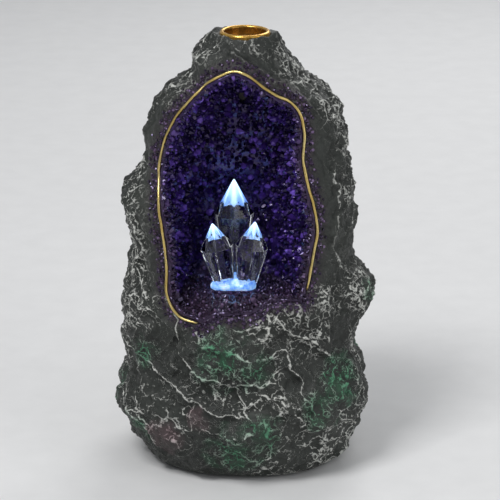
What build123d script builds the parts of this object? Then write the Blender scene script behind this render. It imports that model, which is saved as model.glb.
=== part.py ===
"""Backflow incense burner: a standing rock with a lit crystal cave and a lift-out cone dish.

Millimetres. +X is the viewer's right, -Y the front and +Z up. The origin is on the table, under the
middle of the rock.
"""

from build123d import *
import math
import os
import random

os.makedirs("parts", exist_ok=True)

# Clearances
MOVING_GAP = 0.3
PIN_GAP = 0.05
SCREW_GAP = 0.05
SEAT_GAP = 0.2

# Rock: height and reach of each side from the axis; above the cave floor they stretch with ROCK_TOP
FOOT_HEIGHT = 1.5
ROCK_TOP = 198.0
LEFT_SIDE = [
    (FOOT_HEIGHT, 46.5),
    (8.0, 53.0),
    (27.0, 60.5),
    (45.0, 57.0),
    (54.0, 56.5),
    (70.0, 58.0),
    (95.0, 53.0),
    (110.0, 53.5),
    (123.0, 58.0),
    (130.0, 55.0),
    (138.0, 46.5),
    (157.0, 45.5),
    (172.0, 38.5),
    (178.0, 30.5),
    (182.0, 25.5),
    (189.0, 25.0),
    (198.0, 17.5),
]
RIGHT_SIDE = [
    (FOOT_HEIGHT, 44.5),
    (8.0, 50.0),
    (27.0, 55.5),
    (36.0, 56.0),
    (54.0, 49.0),
    (95.0, 47.8),
    (112.0, 50.0),
    (131.0, 47.8),
    (149.0, 45.4),
    (165.0, 42.8),
    (172.0, 37.8),
    (180.0, 25.5),
    (189.0, 19.0),
    (198.0, 12.6),
]
FRONT_SIDE = [
    (FOOT_HEIGHT, 42.0),
    (8.0, 48.0),
    (27.0, 54.0),
    (45.0, 54.0),
    (62.0, 50.5),
    (78.0, 46.5),
    (95.0, 41.5),
    (122.0, 38.0),
    (149.0, 34.0),
    (179.0, 27.0),
    (189.0, 22.0),
    (198.0, 13.5),
]
BACK_SIDE = [
    (FOOT_HEIGHT, 43.0),
    (8.0, 47.0),
    (27.0, 51.5),
    (54.0, 51.5),
    (95.0, 48.0),
    (122.0, 45.5),
    (149.0, 41.0),
    (172.0, 33.0),
    (189.0, 24.0),
    (198.0, 16.0),
]
ROCK_RINGS = 38
ROCK_SECTORS = 48
ROCK_SQUARENESS = 2.4
ROCK_ROUGHNESS = 0.5
ROCK_SEED = 11

# The rock is cast in four: hollow base, shelf, grotto and crown
CROWN_HEIGHT = 9.0

# Small boulders all over the side, apart from the mouth's rim: spacing, height over the creases and the
# share of that height that lies under the drawn side
BOULDER_SPACING = 13.5
BOULDER_CROWN = 3.6
BOULDER_SUNK = 0.75
BOULDER_SEED = 4
BOULDER_TRIES = 5000
RIM_WIDTH = 9.0

# Large lumps and clefts: angle from the right in degrees, height, spread in degrees, spread in height, bulge
ROCK_LUMPS = [
    (-10.0, 85.0, 18.0, 8.0, 9.0),
    (-15.0, 75.0, 20.0, 9.0, 8.0),
    (-60.0, 83.0, 18.0, 8.0, 5.0),
    (-103.0, 65.0, 16.0, 12.0, 5.0),
    (-128.0, 60.0, 9.0, 22.0, -4.0),
    (-148.0, 74.0, 15.0, 12.0, 4.0),
    (-95.0, 46.0, 28.0, 5.0, -3.5),
    (-33.0, 44.0, 18.0, 13.0, 3.5),
    (-62.0, 55.0, 9.0, 16.0, -3.0),
    (-96.0, 25.0, 18.0, 12.0, 3.5),
    (-153.0, 32.0, 20.0, 12.0, 2.0),
    (165.0, 95.0, 18.0, 16.0, 3.0),
    (140.0, 52.0, 14.0, 28.0, -4.0),
    (95.0, 66.0, 26.0, 18.0, 5.0),
    (62.0, 118.0, 24.0, 22.0, 5.0),
    (35.0, 60.0, 12.0, 26.0, -4.0),
    (122.0, 140.0, 22.0, 18.0, 4.0),
    (105.0, 98.0, 22.0, 10.0, -4.0),
]

# Cave mouth in the front view, from the bead's right end over the top to its left end, then below the lip
MOUTH_POINTS = [
    (27.5, 91.0),
    (30.0, 103.0),
    (32.0, 119.0),
    (29.0, 133.0),
    (25.5, 148.0),
    (26.0, 161.0),
    (22.0, 172.0),
    (11.0, 178.5),
    (4.5, 183.0),
    (-3.5, 187.0),
    (-12.0, 184.0),
    (-20.0, 178.0),
    (-31.0, 165.0),
    (-37.0, 150.0),
    (-38.5, 133.0),
    (-37.0, 117.0),
    (-35.0, 102.0),
    (-35.0, 88.0),
    (-30.0, 79.5),
    (-21.0, 77.0),
    (-8.0, 69.0),
    (12.0, 69.0),
    (24.0, 78.0),
]
BEAD_LAST_POINT = 19
MOUTH_STEPS = 3

# Cave depth: straight from the front to the vault, which closes at the back wall
CAVE_CENTRE_X = -4.0
CAVE_CENTRE_Z = 102.0
CAVE_FRONT_Y = -75.0
VAULT_START_Y = -22.0
CAVE_BACK_Y = 19.0
VAULT_RINGS = 6
LINING_THICKNESS = 2.5

# Cave floor: a level shelf for the crystals, then an apron to the lip, as x and rise over the shelf
FLOOR_Z = 82.5
APRON_Y = -26.0
LIP_Y = -46.0
LIP_POINTS = [(-60.0, -6.0), (-21.0, -6.0), (3.0, 0.5), (27.5, 8.0), (60.0, 11.5)]

# Gilt bead along the mouth
BEAD_RADIUS = 1.0
BEAD_SIDES = 8
BEAD_PROUD = 0.3

# Cone dish and the smoke bore under it
DISH_PROUD = 2.0
DISH_RADIUS = 11.3
DISH_BORE_RADIUS = 9.3
DISH_DEPTH = 3.4
DISH_FLOOR = 1.2
SMOKE_TUBE_RADIUS = 3.2
SMOKE_HOLE_RADIUS = 1.8
SMOKE_TUBE_LENGTH = 8.0
SMOKE_BORE_END_Z = 150.0

# Crystals: foot x and y, lean in degrees, width at the foot and girdle, heights of girdle and tip
CRYSTAL_SIDES = 8
CRYSTALS = {
    "crystal_left": (-9.5, -15.0, -10.5, 8.4, 14.2, 17.7, 29.6),
    "crystal_right": (0.7, -15.0, 7.5, 8.4, 14.2, 17.7, 30.2),
    "crystal_rear": (-5.0, -1.5, 0.0, 9.6, 16.8, 29.0, 46.0),
}

# Frosted base under the crystals, with a stem into the light shaft
PUCK_HEIGHT = 3.2
PUCK_MARGIN = 1.8
PUCK_EDGE = 1.2
SHAFT_X = -5.0
SHAFT_Y = -10.0
SHAFT_RADIUS = 6.0
STEM_LENGTH = 8.0

# Hollow base: wall of the rock round it, its floor flange and its ceiling
ROCK_WALL = 10.0
FLANGE_TOP_Z = 14.0
CEILING_Z = 68.0
HOLLOW_LEVELS = 6

# Base cover, screwed up into the rebate of the flange
COVER_LENGTH = 76.0
COVER_WIDTH = 66.0
COVER_CORNER = 16.0
COVER_THICKNESS = 4.0
FLANGE_WIDTH = 6.0
COVER_SCREW_X = 29.0
COVER_SCREW_Y = 25.0
COVER_SCREW_RADIUS = 1.4
COVER_HEAD_RADIUS = 2.7
COVER_HEAD_HEIGHT = 1.8
COVER_SCREW_BITE = 7.0
FOOT_RADIUS = 4.0
FOOT_X = 20.0
FOOT_Y = 28.0

# Cells and their bay
CELL_RADIUS = 5.2
CELL_LENGTH = 43.3
NUB_RADIUS = 1.9
NUB_LENGTH = 1.2
CELL_PITCH = 11.0
CELL_GAP = 0.3
CONTACT_THICKNESS = 0.5
CONTACT_WIDTH = 7.0
CONTACT_HEIGHT = 8.0
SPRING_REACH = 4.0
SPRING_PAD = 3.0
TAB_WIDTH = 3.0
TAB_RISE = 1.0
TRAY_WALL = 1.6

# Battery door on two stub pins, held shut by one captive screw
DOOR_THICKNESS = 2.0
DOOR_LEDGE = 1.5
BARREL_RADIUS = 1.7
HINGE_PIN_RADIUS = 1.0
HINGE_PIN_LENGTH = 2.0
EAR_RADIUS = 4.5
EAR_REACH = 4.0
DOOR_SCREW_RADIUS = 1.2
DOOR_HEAD_RADIUS = 2.5
DOOR_HEAD_HEIGHT = 1.0
DOOR_SCREW_LENGTH = 7.5
DOOR_SCREW_SWING = 0.7
DOOR_BOSS_WALL = 1.3

# Light: holder ring and board under the ceiling, lamp up the shaft
LED_HOLDER_RADIUS = 13.0
LED_HOLDER_HEIGHT = 4.0
LED_BOARD_HEIGHT = 1.6
LED_RADIUS = 4.0
LED_HEIGHT = 9.0
LED_SCREW_X = 9.5
LED_SCREW_RADIUS = 1.0
LED_HEAD_RADIUS = 2.0
LED_HEAD_HEIGHT = 1.2
LED_SCREW_BITE = 5.0

# Slide switch low on the back, its bezel sunk in a flat pocket
SWITCH_Z = 27.0
BEZEL_LENGTH = 27.0
BEZEL_HEIGHT = 13.0
BEZEL_CORNER = 3.0
BEZEL_THICKNESS = 2.0
POCKET_Y = 45.5
POCKET_MARGIN = 1.5
SWITCH_LENGTH = 13.0
SWITCH_HEIGHT = 7.5
SWITCH_DEPTH = 9.0
SLIDER_TRAVEL = 4.0
SLIDER_FOOT_LENGTH = 4.6
SLIDER_FOOT_HEIGHT = 4.0
SLIDER_FOOT_DEPTH = 2.0
KNOB_LENGTH = 3.2
KNOB_HEIGHT = 2.8
KNOB_PROUD = 2.2
KNOB_RIB = 0.5
TERMINAL_X = 3.5
TERMINAL_WIDTH = 2.0
TERMINAL_THICKNESS = 0.6
TERMINAL_LENGTH = 3.0
BEZEL_SCREW_X = 10.5
BEZEL_SCREW_RADIUS = 1.0
BEZEL_HEAD_RADIUS = 1.9
BEZEL_HEAD_HEIGHT = 0.9
BEZEL_SCREW_BITE = 3.5

# Wires inside the base
WIRE_RADIUS = 0.7
WIRE_BEND = 4.0
LED_WIRE_X = 5.0
LED_WIRE_Y = 6.0

# Places worked out from the sizes above
STANDING = (Align.CENTER, Align.CENTER, Align.MIN)
BIG = 2 * ROCK_TOP
stretch = (ROCK_TOP - FLOOR_Z) / (LEFT_SIDE[-1][0] - FLOOR_Z)
grotto_z = FLOOR_Z - LINING_THICKNESS
crown_z = ROCK_TOP - CROWN_HEIGHT
cover_top = FOOT_HEIGHT + COVER_THICKNESS
bay_length = CELL_LENGTH + NUB_LENGTH + SPRING_REACH + CONTACT_THICKNESS
bay_width = 2 * CELL_PITCH + 2 * CELL_RADIUS + 2 * CELL_GAP
bay_height = 2 * CELL_RADIUS + 2 * CELL_GAP
bay_floor = FOOT_HEIGHT + DOOR_THICKNESS
bay_top = bay_floor + bay_height
cell_z = bay_floor + CELL_GAP + CELL_RADIUS
tray_end_x = bay_length / 2 + TRAY_WALL
door_half_x = bay_length / 2 + DOOR_LEDGE
barrel_room = BARREL_RADIUS + MOVING_GAP
hinge_y = bay_width / 2 + DOOR_LEDGE + barrel_room
hinge_z = FOOT_HEIGHT + BARREL_RADIUS
door_front_y = -bay_width / 2 - DOOR_LEDGE
ear_y = door_front_y - EAR_REACH
dish_top = ROCK_TOP + DISH_PROUD
dish_floor_z = dish_top - DISH_DEPTH
dish_seat_z = dish_floor_z - DISH_FLOOR
puck_top = FLOOR_Z + PUCK_HEIGHT
led_board_z = CEILING_Z - LED_HOLDER_HEIGHT - LED_BOARD_HEIGHT
bezel_back_y = POCKET_Y + BEZEL_THICKNESS
switch_front_y = POCKET_Y - SWITCH_DEPTH
terminal_end_y = switch_front_y - TERMINAL_LENGTH
tab_x = tray_end_x + CONTACT_THICKNESS / 2
tab_top = bay_top + TRAY_WALL + TAB_RISE


def block(x, y, z, length, width, height):
    """Box standing on z, centred on x and y."""
    return Pos(x, y, z) * Box(length, width, height, align=STANDING)


def rod(x, y, z, radius, height):
    """Upright cylinder standing on z."""
    return Pos(x, y, z) * Cylinder(radius, height, align=STANDING)


def rod_x(x, y, z, radius, length):
    """Cylinder that starts at x and runs along +X."""
    return Pos(x, y, z) * Rot(0, 90, 0) * Cylinder(radius, length, align=STANDING)


def rod_y(x, y, z, radius, length):
    """Cylinder that starts at y and runs along +Y."""
    return Pos(x, y, z) * Rot(-90, 0, 0) * Cylinder(radius, length, align=STANDING)


def rounded_plate(x, y, z, length, width, corner, height):
    """Flat plate with rounded corners, standing on z."""
    return Pos(x, y, z) * extrude(RectangleRounded(length, width, corner), height)


def polyhedron(rings):
    """Closed solid of triangles through rings of equally many points, with flat ends."""
    faces = [Face(Wire.make_polygon(ring)) for ring in (rings[0], rings[-1])]
    for triangle in ring_triangles(rings):
        faces.append(Face(Wire.make_polygon(triangle)))
    return Solid(Shell(faces))


def ring_triangles(rings):
    """The triangles between each ring and the next."""
    triangles = []
    for lower, upper in zip(rings, rings[1:]):
        for i, corner in enumerate(lower):
            j = (i + 1) % len(lower)
            triangles.append((corner, lower[j], upper[i]))
            triangles.append((lower[j], upper[j], upper[i]))
    return triangles


def smooth_loop(points, steps):
    """Closed curve through the points, each stretch in a number of steps."""
    curve = []
    count = len(points)
    for i in range(count):
        before, start, end, after = (points[(i + k) % count] for k in (-1, 0, 1, 2))
        for step in range(steps):
            t = step / steps
            curve.append(tuple(spline_value(t, *four) for four in zip(before, start, end, after)))
    return curve


def spline_value(t, before, start, end, after):
    """One coordinate of a cubic curve that passes through its inner two points."""
    straight = end - before
    bend = 2 * before - 5 * start + 4 * end - after
    twist = 3 * start - before - 3 * end + after
    return start + (straight * t + bend * t**2 + twist * t**3) / 2


def profile_at(profile, place):
    """Value of a profile of (place, value) points, straight between them."""
    for low, high in zip(profile, profile[1:]):
        if place <= high[0]:
            break
    return low[1] + (high[1] - low[1]) * (place - low[0]) / (high[0] - low[0])


def built(height):
    """Where a drawn height comes to lie on the rock."""
    return height + max(height - FLOOR_Z, 0) * (stretch - 1)


def drawn(height):
    """The drawn height of a place on the rock."""
    return height - max(height - FLOOR_Z, 0) * (1 - 1 / stretch)


def rock_radius(angle, place):
    """Distance from the axis to the rock's side, lumps included, before roughness."""
    height = drawn(place)
    turn = math.radians(angle)
    across = math.cos(turn) / profile_at(RIGHT_SIDE if math.cos(turn) > 0 else LEFT_SIDE, height)
    along = math.sin(turn) / profile_at(BACK_SIDE if math.sin(turn) > 0 else FRONT_SIDE, height)
    power = ROCK_SQUARENESS
    radius = (abs(across) ** power + abs(along) ** power) ** (-1 / power)
    for lump_angle, lump_z, angle_spread, z_spread, bulge in ROCK_LUMPS:
        aside = (angle - lump_angle + 180) % 360 - 180
        radius += bulge * math.exp(-((aside / angle_spread) ** 2) - ((height - lump_z) / z_spread) ** 2)
    return radius


def side_point(angle, height):
    """Point of the rock's side, lumps included, before boulders and roughness."""
    turn = math.radians(angle)
    radius = rock_radius(angle, height)
    return (radius * math.cos(turn), radius * math.sin(turn), height)


def boulder_tops():
    """Places of the small boulders' tops, scattered over the rock's side."""
    scatter = random.Random(BOULDER_SEED)
    tops = []
    for _ in range(BOULDER_TRIES):
        place = side_point(scatter.uniform(0, 360), scatter.uniform(FOOT_HEIGHT, ROCK_TOP))
        if all(math.dist(place, top) > BOULDER_SPACING for top in tops):
            tops.append(place)
    return tops


def boulder_height(place, tops, mouth):
    """Rise of the small boulders at a place on the side; calm at the foot, the crown and the mouth's rim."""
    near, next_near = sorted(math.dist(place, top) for top in tops)[:2]
    across = min((next_near - near) / BOULDER_SPACING, 1)
    rise = BOULDER_CROWN * (across * (2 - across) - BOULDER_SUNK)
    x, y, z = place
    from_ends = min(z - FOOT_HEIGHT, ROCK_TOP - z) / CROWN_HEIGHT
    from_mouth = min(math.dist((x, z), point) for point in mouth) / RIM_WIDTH if y < 0 else 1
    return rise * min(from_ends, from_mouth, 1)


def ring_of(height, radius_at, twist=0.0):
    """One level ring of points, where radius_at gives the distance at an angle."""
    ring = []
    for i in range(ROCK_SECTORS):
        angle = (i + twist) * 360 / ROCK_SECTORS
        turn = math.radians(angle)
        radius = radius_at(angle)
        ring.append((radius * math.cos(turn), radius * math.sin(turn), height))
    return ring


def rock_rings():
    """Rings of the rough rock, each half a sector on from the last, centred on the origin."""
    rough = random.Random(ROCK_SEED)
    tops = boulder_tops()
    mouth = mouth_loop(0)
    rings = []
    for k in range(ROCK_RINGS):
        height = FOOT_HEIGHT + (ROCK_TOP - FOOT_HEIGHT) * k / (ROCK_RINGS - 1)

        def radius_at(angle):
            """Distance from the axis to the rock's rough side at this ring's height."""
            relief = boulder_height(side_point(angle, height), tops, mouth)
            return rock_radius(angle, height) + relief + rough.uniform(-ROCK_ROUGHNESS, ROCK_ROUGHNESS)

        rings.append(ring_of(height, radius_at, k / 2))
    xs = [x for ring in rings for x, _, _ in ring]
    ys = [y for ring in rings for _, y, _ in ring]
    mid_x = (min(xs) + max(xs)) / 2
    mid_y = (min(ys) + max(ys)) / 2
    return [[(x - mid_x, y - mid_y, z) for x, y, z in ring] for ring in rings]


def mouth_loop(inset):
    """The cave mouth in the front view, drawn in by the inset."""
    loop = smooth_loop([(x, built(z)) for x, z in MOUTH_POINTS], MOUTH_STEPS)
    inner = []
    for i, (x, z) in enumerate(loop):
        (x0, z0), (x1, z1) = loop[i - 1], loop[(i + 1) % len(loop)]
        length = math.hypot(x1 - x0, z1 - z0)
        inner.append((x - inset * (z1 - z0) / length, z + inset * (x1 - x0) / length))
    return inner


def cave_space(inset):
    """The cave as a solid, smaller all round by the inset, floor included."""
    loop = mouth_loop(inset)
    centre_z = built(CAVE_CENTRE_Z)
    back = CAVE_BACK_Y - inset
    depths = [(CAVE_FRONT_Y, 1.0), (VAULT_START_Y, 1.0)]
    for k in range(1, VAULT_RINGS):
        rise = math.sin(math.pi / 2 * k / VAULT_RINGS)
        depths.append((VAULT_START_Y + (back - VAULT_START_Y) * rise, math.sqrt(1 - rise**2)))
    rings = []
    for y, share in depths:
        ring = []
        for x, z in loop:
            ring.append((CAVE_CENTRE_X + (x - CAVE_CENTRE_X) * share, y, centre_z + (z - centre_z) * share))
        rings.append(ring)
    return polyhedron(rings) - cave_ground(LINING_THICKNESS - inset)


def cave_ground(drop):
    """Everything under the cave floor, lowered by the drop."""
    reach = (APRON_Y - CAVE_FRONT_Y) / (APRON_Y - LIP_Y)
    rings = []
    for x, lip_rise in LIP_POINTS:
        front_z = FLOOR_Z + lip_rise * reach
        profile = [
            (CAVE_FRONT_Y, 0),
            (CAVE_FRONT_Y, front_z - drop),
            (APRON_Y, FLOOR_Z - drop),
            (BIG, FLOOR_Z - drop),
            (BIG, 0),
        ]
        rings.append([(x, y, z) for y, z in profile])
    return polyhedron(rings)


def front_of(triangles, x, z):
    """The foremost y of a triangle mesh over a point of the front view."""
    nearest = 0.0
    for (x0, y0, z0), (x1, y1, z1), (x2, y2, z2) in triangles:
        area = (x1 - x0) * (z2 - z0) - (x2 - x0) * (z1 - z0)
        if area == 0:
            continue
        first = ((x - x0) * (z2 - z0) - (x2 - x0) * (z - z0)) / area
        second = ((x1 - x0) * (z - z0) - (x - x0) * (z1 - z0)) / area
        if first >= 0 and second >= 0 and first + second <= 1:
            nearest = min(nearest, y0 + first * (y1 - y0) + second * (y2 - y0))
    return nearest


def bead_tube(triangles):
    """Many-sided tube that follows the gilded stretch of the mouth over the rock's front."""
    path = []
    for x, z in mouth_loop(0)[: BEAD_LAST_POINT * MOUTH_STEPS + 1]:
        path.append(Vector(x, front_of(triangles, x, z) - BEAD_PROUD, z))
    rings = []
    for i, point in enumerate(path):
        along = path[min(i + 1, len(path) - 1)] - path[max(i - 1, 0)]
        side = along.cross(Vector(0, -1, 0)).normalized()
        out = side.cross(along).normalized()
        ring = []
        for k in range(BEAD_SIDES):
            turn = 2 * math.pi * (k + 0.5) / BEAD_SIDES
            corner = point + side * (BEAD_RADIUS * math.cos(turn)) + out * (BEAD_RADIUS * math.sin(turn))
            ring.append(tuple(corner))
        rings.append(ring)
    return polyhedron(rings)


# Rock: solid stone, then the cave, the hollow base and every seat cut into it
rings = rock_rings()
stone = polyhedron(rings)
cave = cave_space(0)
bore_end = built(SMOKE_BORE_END_Z)
smoke_bore = rod(0, 0, bore_end, SMOKE_TUBE_RADIUS + MOVING_GAP, ROCK_TOP - bore_end)
light_shaft = rod(SHAFT_X, SHAFT_Y, CEILING_Z, SHAFT_RADIUS, FLOOR_Z - CEILING_Z)

hollow_rings = []
for k in range(HOLLOW_LEVELS + 1):
    level = FLANGE_TOP_Z + (CEILING_Z - FLANGE_TOP_Z) * k / HOLLOW_LEVELS
    hollow_rings.append(ring_of(level, lambda a: rock_radius(a, level) - ROCK_WALL, k / 2))
flange_hole = rounded_plate(
    0,
    0,
    FOOT_HEIGHT,
    COVER_LENGTH - 2 * FLANGE_WIDTH,
    COVER_WIDTH - 2 * FLANGE_WIDTH,
    COVER_CORNER - FLANGE_WIDTH / 2,
    FLANGE_TOP_Z - FOOT_HEIGHT,
)
rebate = rounded_plate(
    0,
    0,
    FOOT_HEIGHT,
    COVER_LENGTH + 2 * SEAT_GAP,
    COVER_WIDTH + 2 * SEAT_GAP,
    COVER_CORNER + SEAT_GAP,
    COVER_THICKNESS,
)
dish_seat = rod(0, 0, dish_seat_z, DISH_RADIUS + MOVING_GAP, BIG)
pocket_plate = extrude(
    RectangleRounded(
        BEZEL_LENGTH + 2 * POCKET_MARGIN, BEZEL_HEIGHT + 2 * POCKET_MARGIN, BEZEL_CORNER + POCKET_MARGIN
    ),
    BIG,
)
pocket = Pos(0, POCKET_Y, SWITCH_Z) * Rot(-90, 0, 0) * pocket_plate
switch_hole = block(
    0,
    POCKET_Y - SWITCH_DEPTH,
    SWITCH_Z - SWITCH_HEIGHT / 2 - SEAT_GAP,
    SWITCH_LENGTH + 2 * SEAT_GAP,
    2 * SWITCH_DEPTH,
    SWITCH_HEIGHT + 2 * SEAT_GAP,
)
rock = stone - cave - smoke_bore - light_shaft - polyhedron(hollow_rings)
rock = rock - flange_hole - rebate - dish_seat - pocket - switch_hole

cover_screw_places = []
for x in (-COVER_SCREW_X, COVER_SCREW_X):
    cover_screw_places += [(x, -COVER_SCREW_Y), (x, COVER_SCREW_Y)]
led_screw_places = [(SHAFT_X - LED_SCREW_X, SHAFT_Y), (SHAFT_X + LED_SCREW_X, SHAFT_Y)]
for x, y in cover_screw_places:
    rock -= rod(x, y, cover_top, COVER_SCREW_RADIUS + SCREW_GAP, COVER_SCREW_BITE)
for x, y in led_screw_places:
    rock -= rod(x, y, CEILING_Z, LED_SCREW_RADIUS + SCREW_GAP, LED_SCREW_BITE)
for x in (-BEZEL_SCREW_X, BEZEL_SCREW_X):
    hole_y = POCKET_Y - BEZEL_SCREW_BITE
    rock -= rod_y(x, hole_y, SWITCH_Z, BEZEL_SCREW_RADIUS + SCREW_GAP, BEZEL_SCREW_BITE)
rock_base = rock & block(0, 0, 0, BIG, BIG, CEILING_Z)
rock_shelf = rock & block(0, 0, CEILING_Z, BIG, BIG, grotto_z - CEILING_Z)
rock_grotto = rock & block(0, 0, grotto_z, BIG, BIG, crown_z - grotto_z)
rock_crown = rock & block(0, 0, crown_z, BIG, BIG, BIG)

# Cave lining: a crust over walls and floor, flush with the rock's face
druse_lining = (cave & stone) - cave_space(LINING_THICKNESS) - smoke_bore - light_shaft

# Gilt bead on the edge of the mouth
gilt_bead = bead_tube(ring_triangles(rings)) - stone

# Cone dish with its smoke tube
rim = (DISH_RADIUS - DISH_BORE_RADIUS) / 2
dish_half = [
    (SMOKE_HOLE_RADIUS, dish_floor_z),
    (DISH_BORE_RADIUS, dish_floor_z),
    (DISH_BORE_RADIUS, dish_top - rim),
    (DISH_RADIUS, dish_top - rim),
    (DISH_RADIUS, dish_seat_z),
    (SMOKE_TUBE_RADIUS, dish_seat_z),
    (SMOKE_TUBE_RADIUS, dish_seat_z - SMOKE_TUBE_LENGTH),
    (SMOKE_HOLE_RADIUS, dish_seat_z - SMOKE_TUBE_LENGTH),
]
dish_lines = Polyline(*dish_half[:3])
dish_lines += ThreePointArc(dish_half[2], ((DISH_BORE_RADIUS + DISH_RADIUS) / 2, dish_top), dish_half[3])
dish_lines += Polyline(*dish_half[3:], dish_half[0])
cone_dish = revolve(Plane.XZ * make_face(dish_lines), Axis.Z)


def crystal(x, y, lean, foot_width, girdle_width, girdle_height, tip_height):
    """Eight-sided crystal that widens to its girdle and comes to a point, trimmed to the puck's top."""
    foot = RegularPolygon(foot_width / 2, CRYSTAL_SIDES, major_radius=False)
    girdle = RegularPolygon(girdle_width / 2, CRYSTAL_SIDES, major_radius=False)
    sunk = foot_width / 2
    stem = Pos(0, 0, -sunk) * extrude(foot, sunk)
    stem += loft([foot, Pos(0, 0, girdle_height) * girdle], ruled=True)
    stem += loft([Pos(0, 0, girdle_height) * girdle, Vertex(0, 0, tip_height)], ruled=True)
    standing = Pos(x, y, puck_top) * Rot(0, lean, 0) * stem
    return standing - block(x, y, puck_top - BIG, BIG, BIG, BIG)


# Frosted puck round the three feet
puck_edges = []
for foot_x, foot_y, _, foot_width, *_ in CRYSTALS.values():
    puck_edges.append(Pos(foot_x, foot_y) * Edge.make_circle(foot_width / 2 + PUCK_MARGIN))
puck = Pos(0, 0, FLOOR_Z) * extrude(make_hull(puck_edges), PUCK_HEIGHT)
puck = fillet(puck.faces().sort_by(Axis.Z)[-1].edges(), PUCK_EDGE)
crystal_base = puck + rod(SHAFT_X, SHAFT_Y, FLOOR_Z - STEM_LENGTH, SHAFT_RADIUS - SEAT_GAP, STEM_LENGTH)

# Light under the ceiling of the hollow
led_board = rod(SHAFT_X, SHAFT_Y, led_board_z, LED_HOLDER_RADIUS, LED_BOARD_HEIGHT)
led_holder = rod(SHAFT_X, SHAFT_Y, CEILING_Z - LED_HOLDER_HEIGHT, LED_HOLDER_RADIUS, LED_HOLDER_HEIGHT)
led_holder -= rod(SHAFT_X, SHAFT_Y, led_board_z, LED_RADIUS + SEAT_GAP, BIG)
led_lamp = rod(SHAFT_X, SHAFT_Y, led_board_z + LED_BOARD_HEIGHT, LED_RADIUS, LED_HEIGHT)
led_lamp = fillet(led_lamp.edges().sort_by(Axis.Z)[-1:], LED_RADIUS - SEAT_GAP)
led_holder_screws = []
for x, y in led_screw_places:
    hole = rod(x, y, led_board_z, LED_SCREW_RADIUS + SCREW_GAP, LED_BOARD_HEIGHT + LED_HOLDER_HEIGHT)
    led_board -= hole
    led_holder -= hole
    head = rod(x, y, led_board_z - LED_HEAD_HEIGHT, LED_HEAD_RADIUS, LED_HEAD_HEIGHT)
    shank_length = LED_BOARD_HEIGHT + LED_HOLDER_HEIGHT + LED_SCREW_BITE
    led_holder_screws.append(head + rod(x, y, led_board_z, LED_SCREW_RADIUS, shank_length))

# Base cover with its battery tray
base_cover = rounded_plate(0, 0, FOOT_HEIGHT, COVER_LENGTH, COVER_WIDTH, COVER_CORNER, COVER_THICKNESS)
tray_width = bay_width + 2 * TRAY_WALL
base_cover += block(0, 0, cover_top, 2 * tray_end_x, tray_width, bay_top + TRAY_WALL - cover_top)
boss_radius = DOOR_SCREW_RADIUS + DOOR_SCREW_SWING + DOOR_BOSS_WALL
boss_top = FOOT_HEIGHT + DOOR_HEAD_HEIGHT + DOOR_SCREW_LENGTH + DOOR_BOSS_WALL
base_cover += rod(0, ear_y, cover_top, boss_radius, boss_top - cover_top)
base_cover -= block(0, 0, bay_floor, bay_length, bay_width, bay_height)
window_length = hinge_y - door_front_y
window = block(
    0,
    (hinge_y + door_front_y) / 2 - MOVING_GAP / 2,
    FOOT_HEIGHT,
    2 * (door_half_x + MOVING_GAP),
    window_length + MOVING_GAP,
    DOOR_THICKNESS,
)
window += rod(0, ear_y, FOOT_HEIGHT, EAR_RADIUS + MOVING_GAP, DOOR_THICKNESS)
window += block(
    0,
    (ear_y + door_front_y) / 2,
    FOOT_HEIGHT,
    2 * (EAR_RADIUS + MOVING_GAP),
    EAR_REACH,
    DOOR_THICKNESS,
)
base_cover -= window
base_cover -= rod_x(-door_half_x - MOVING_GAP, hinge_y, hinge_z, barrel_room, 2 * (door_half_x + MOVING_GAP))
base_cover -= block(
    0,
    hinge_y,
    FOOT_HEIGHT,
    2 * (door_half_x + MOVING_GAP),
    2 * barrel_room,
    BARREL_RADIUS,
)
hinge_hole_half = door_half_x + HINGE_PIN_LENGTH + MOVING_GAP
base_cover -= rod_x(-hinge_hole_half, hinge_y, hinge_z, HINGE_PIN_RADIUS + PIN_GAP, 2 * hinge_hole_half)
base_cover -= rod(0, ear_y, FOOT_HEIGHT, DOOR_SCREW_RADIUS + DOOR_SCREW_SWING, boss_top - DOOR_BOSS_WALL)

# Base screws and rubber feet
base_screws = []
for x, y in cover_screw_places:
    head_seat = FOOT_HEIGHT + COVER_HEAD_HEIGHT
    base_cover -= rod(x, y, FOOT_HEIGHT, COVER_HEAD_RADIUS + SEAT_GAP, COVER_HEAD_HEIGHT)
    base_cover -= rod(x, y, FOOT_HEIGHT, COVER_SCREW_RADIUS + SCREW_GAP, COVER_THICKNESS)
    shank_length = COVER_THICKNESS - COVER_HEAD_HEIGHT + COVER_SCREW_BITE
    head = rod(x, y, FOOT_HEIGHT, COVER_HEAD_RADIUS, COVER_HEAD_HEIGHT)
    base_screws.append(head + rod(x, y, head_seat, COVER_SCREW_RADIUS, shank_length))
rubber_feet = []
for x in (-FOOT_X, FOOT_X):
    for y in (-FOOT_Y, FOOT_Y):
        rubber_feet.append(rod(x, y, 0, FOOT_RADIUS, FOOT_HEIGHT))

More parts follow.
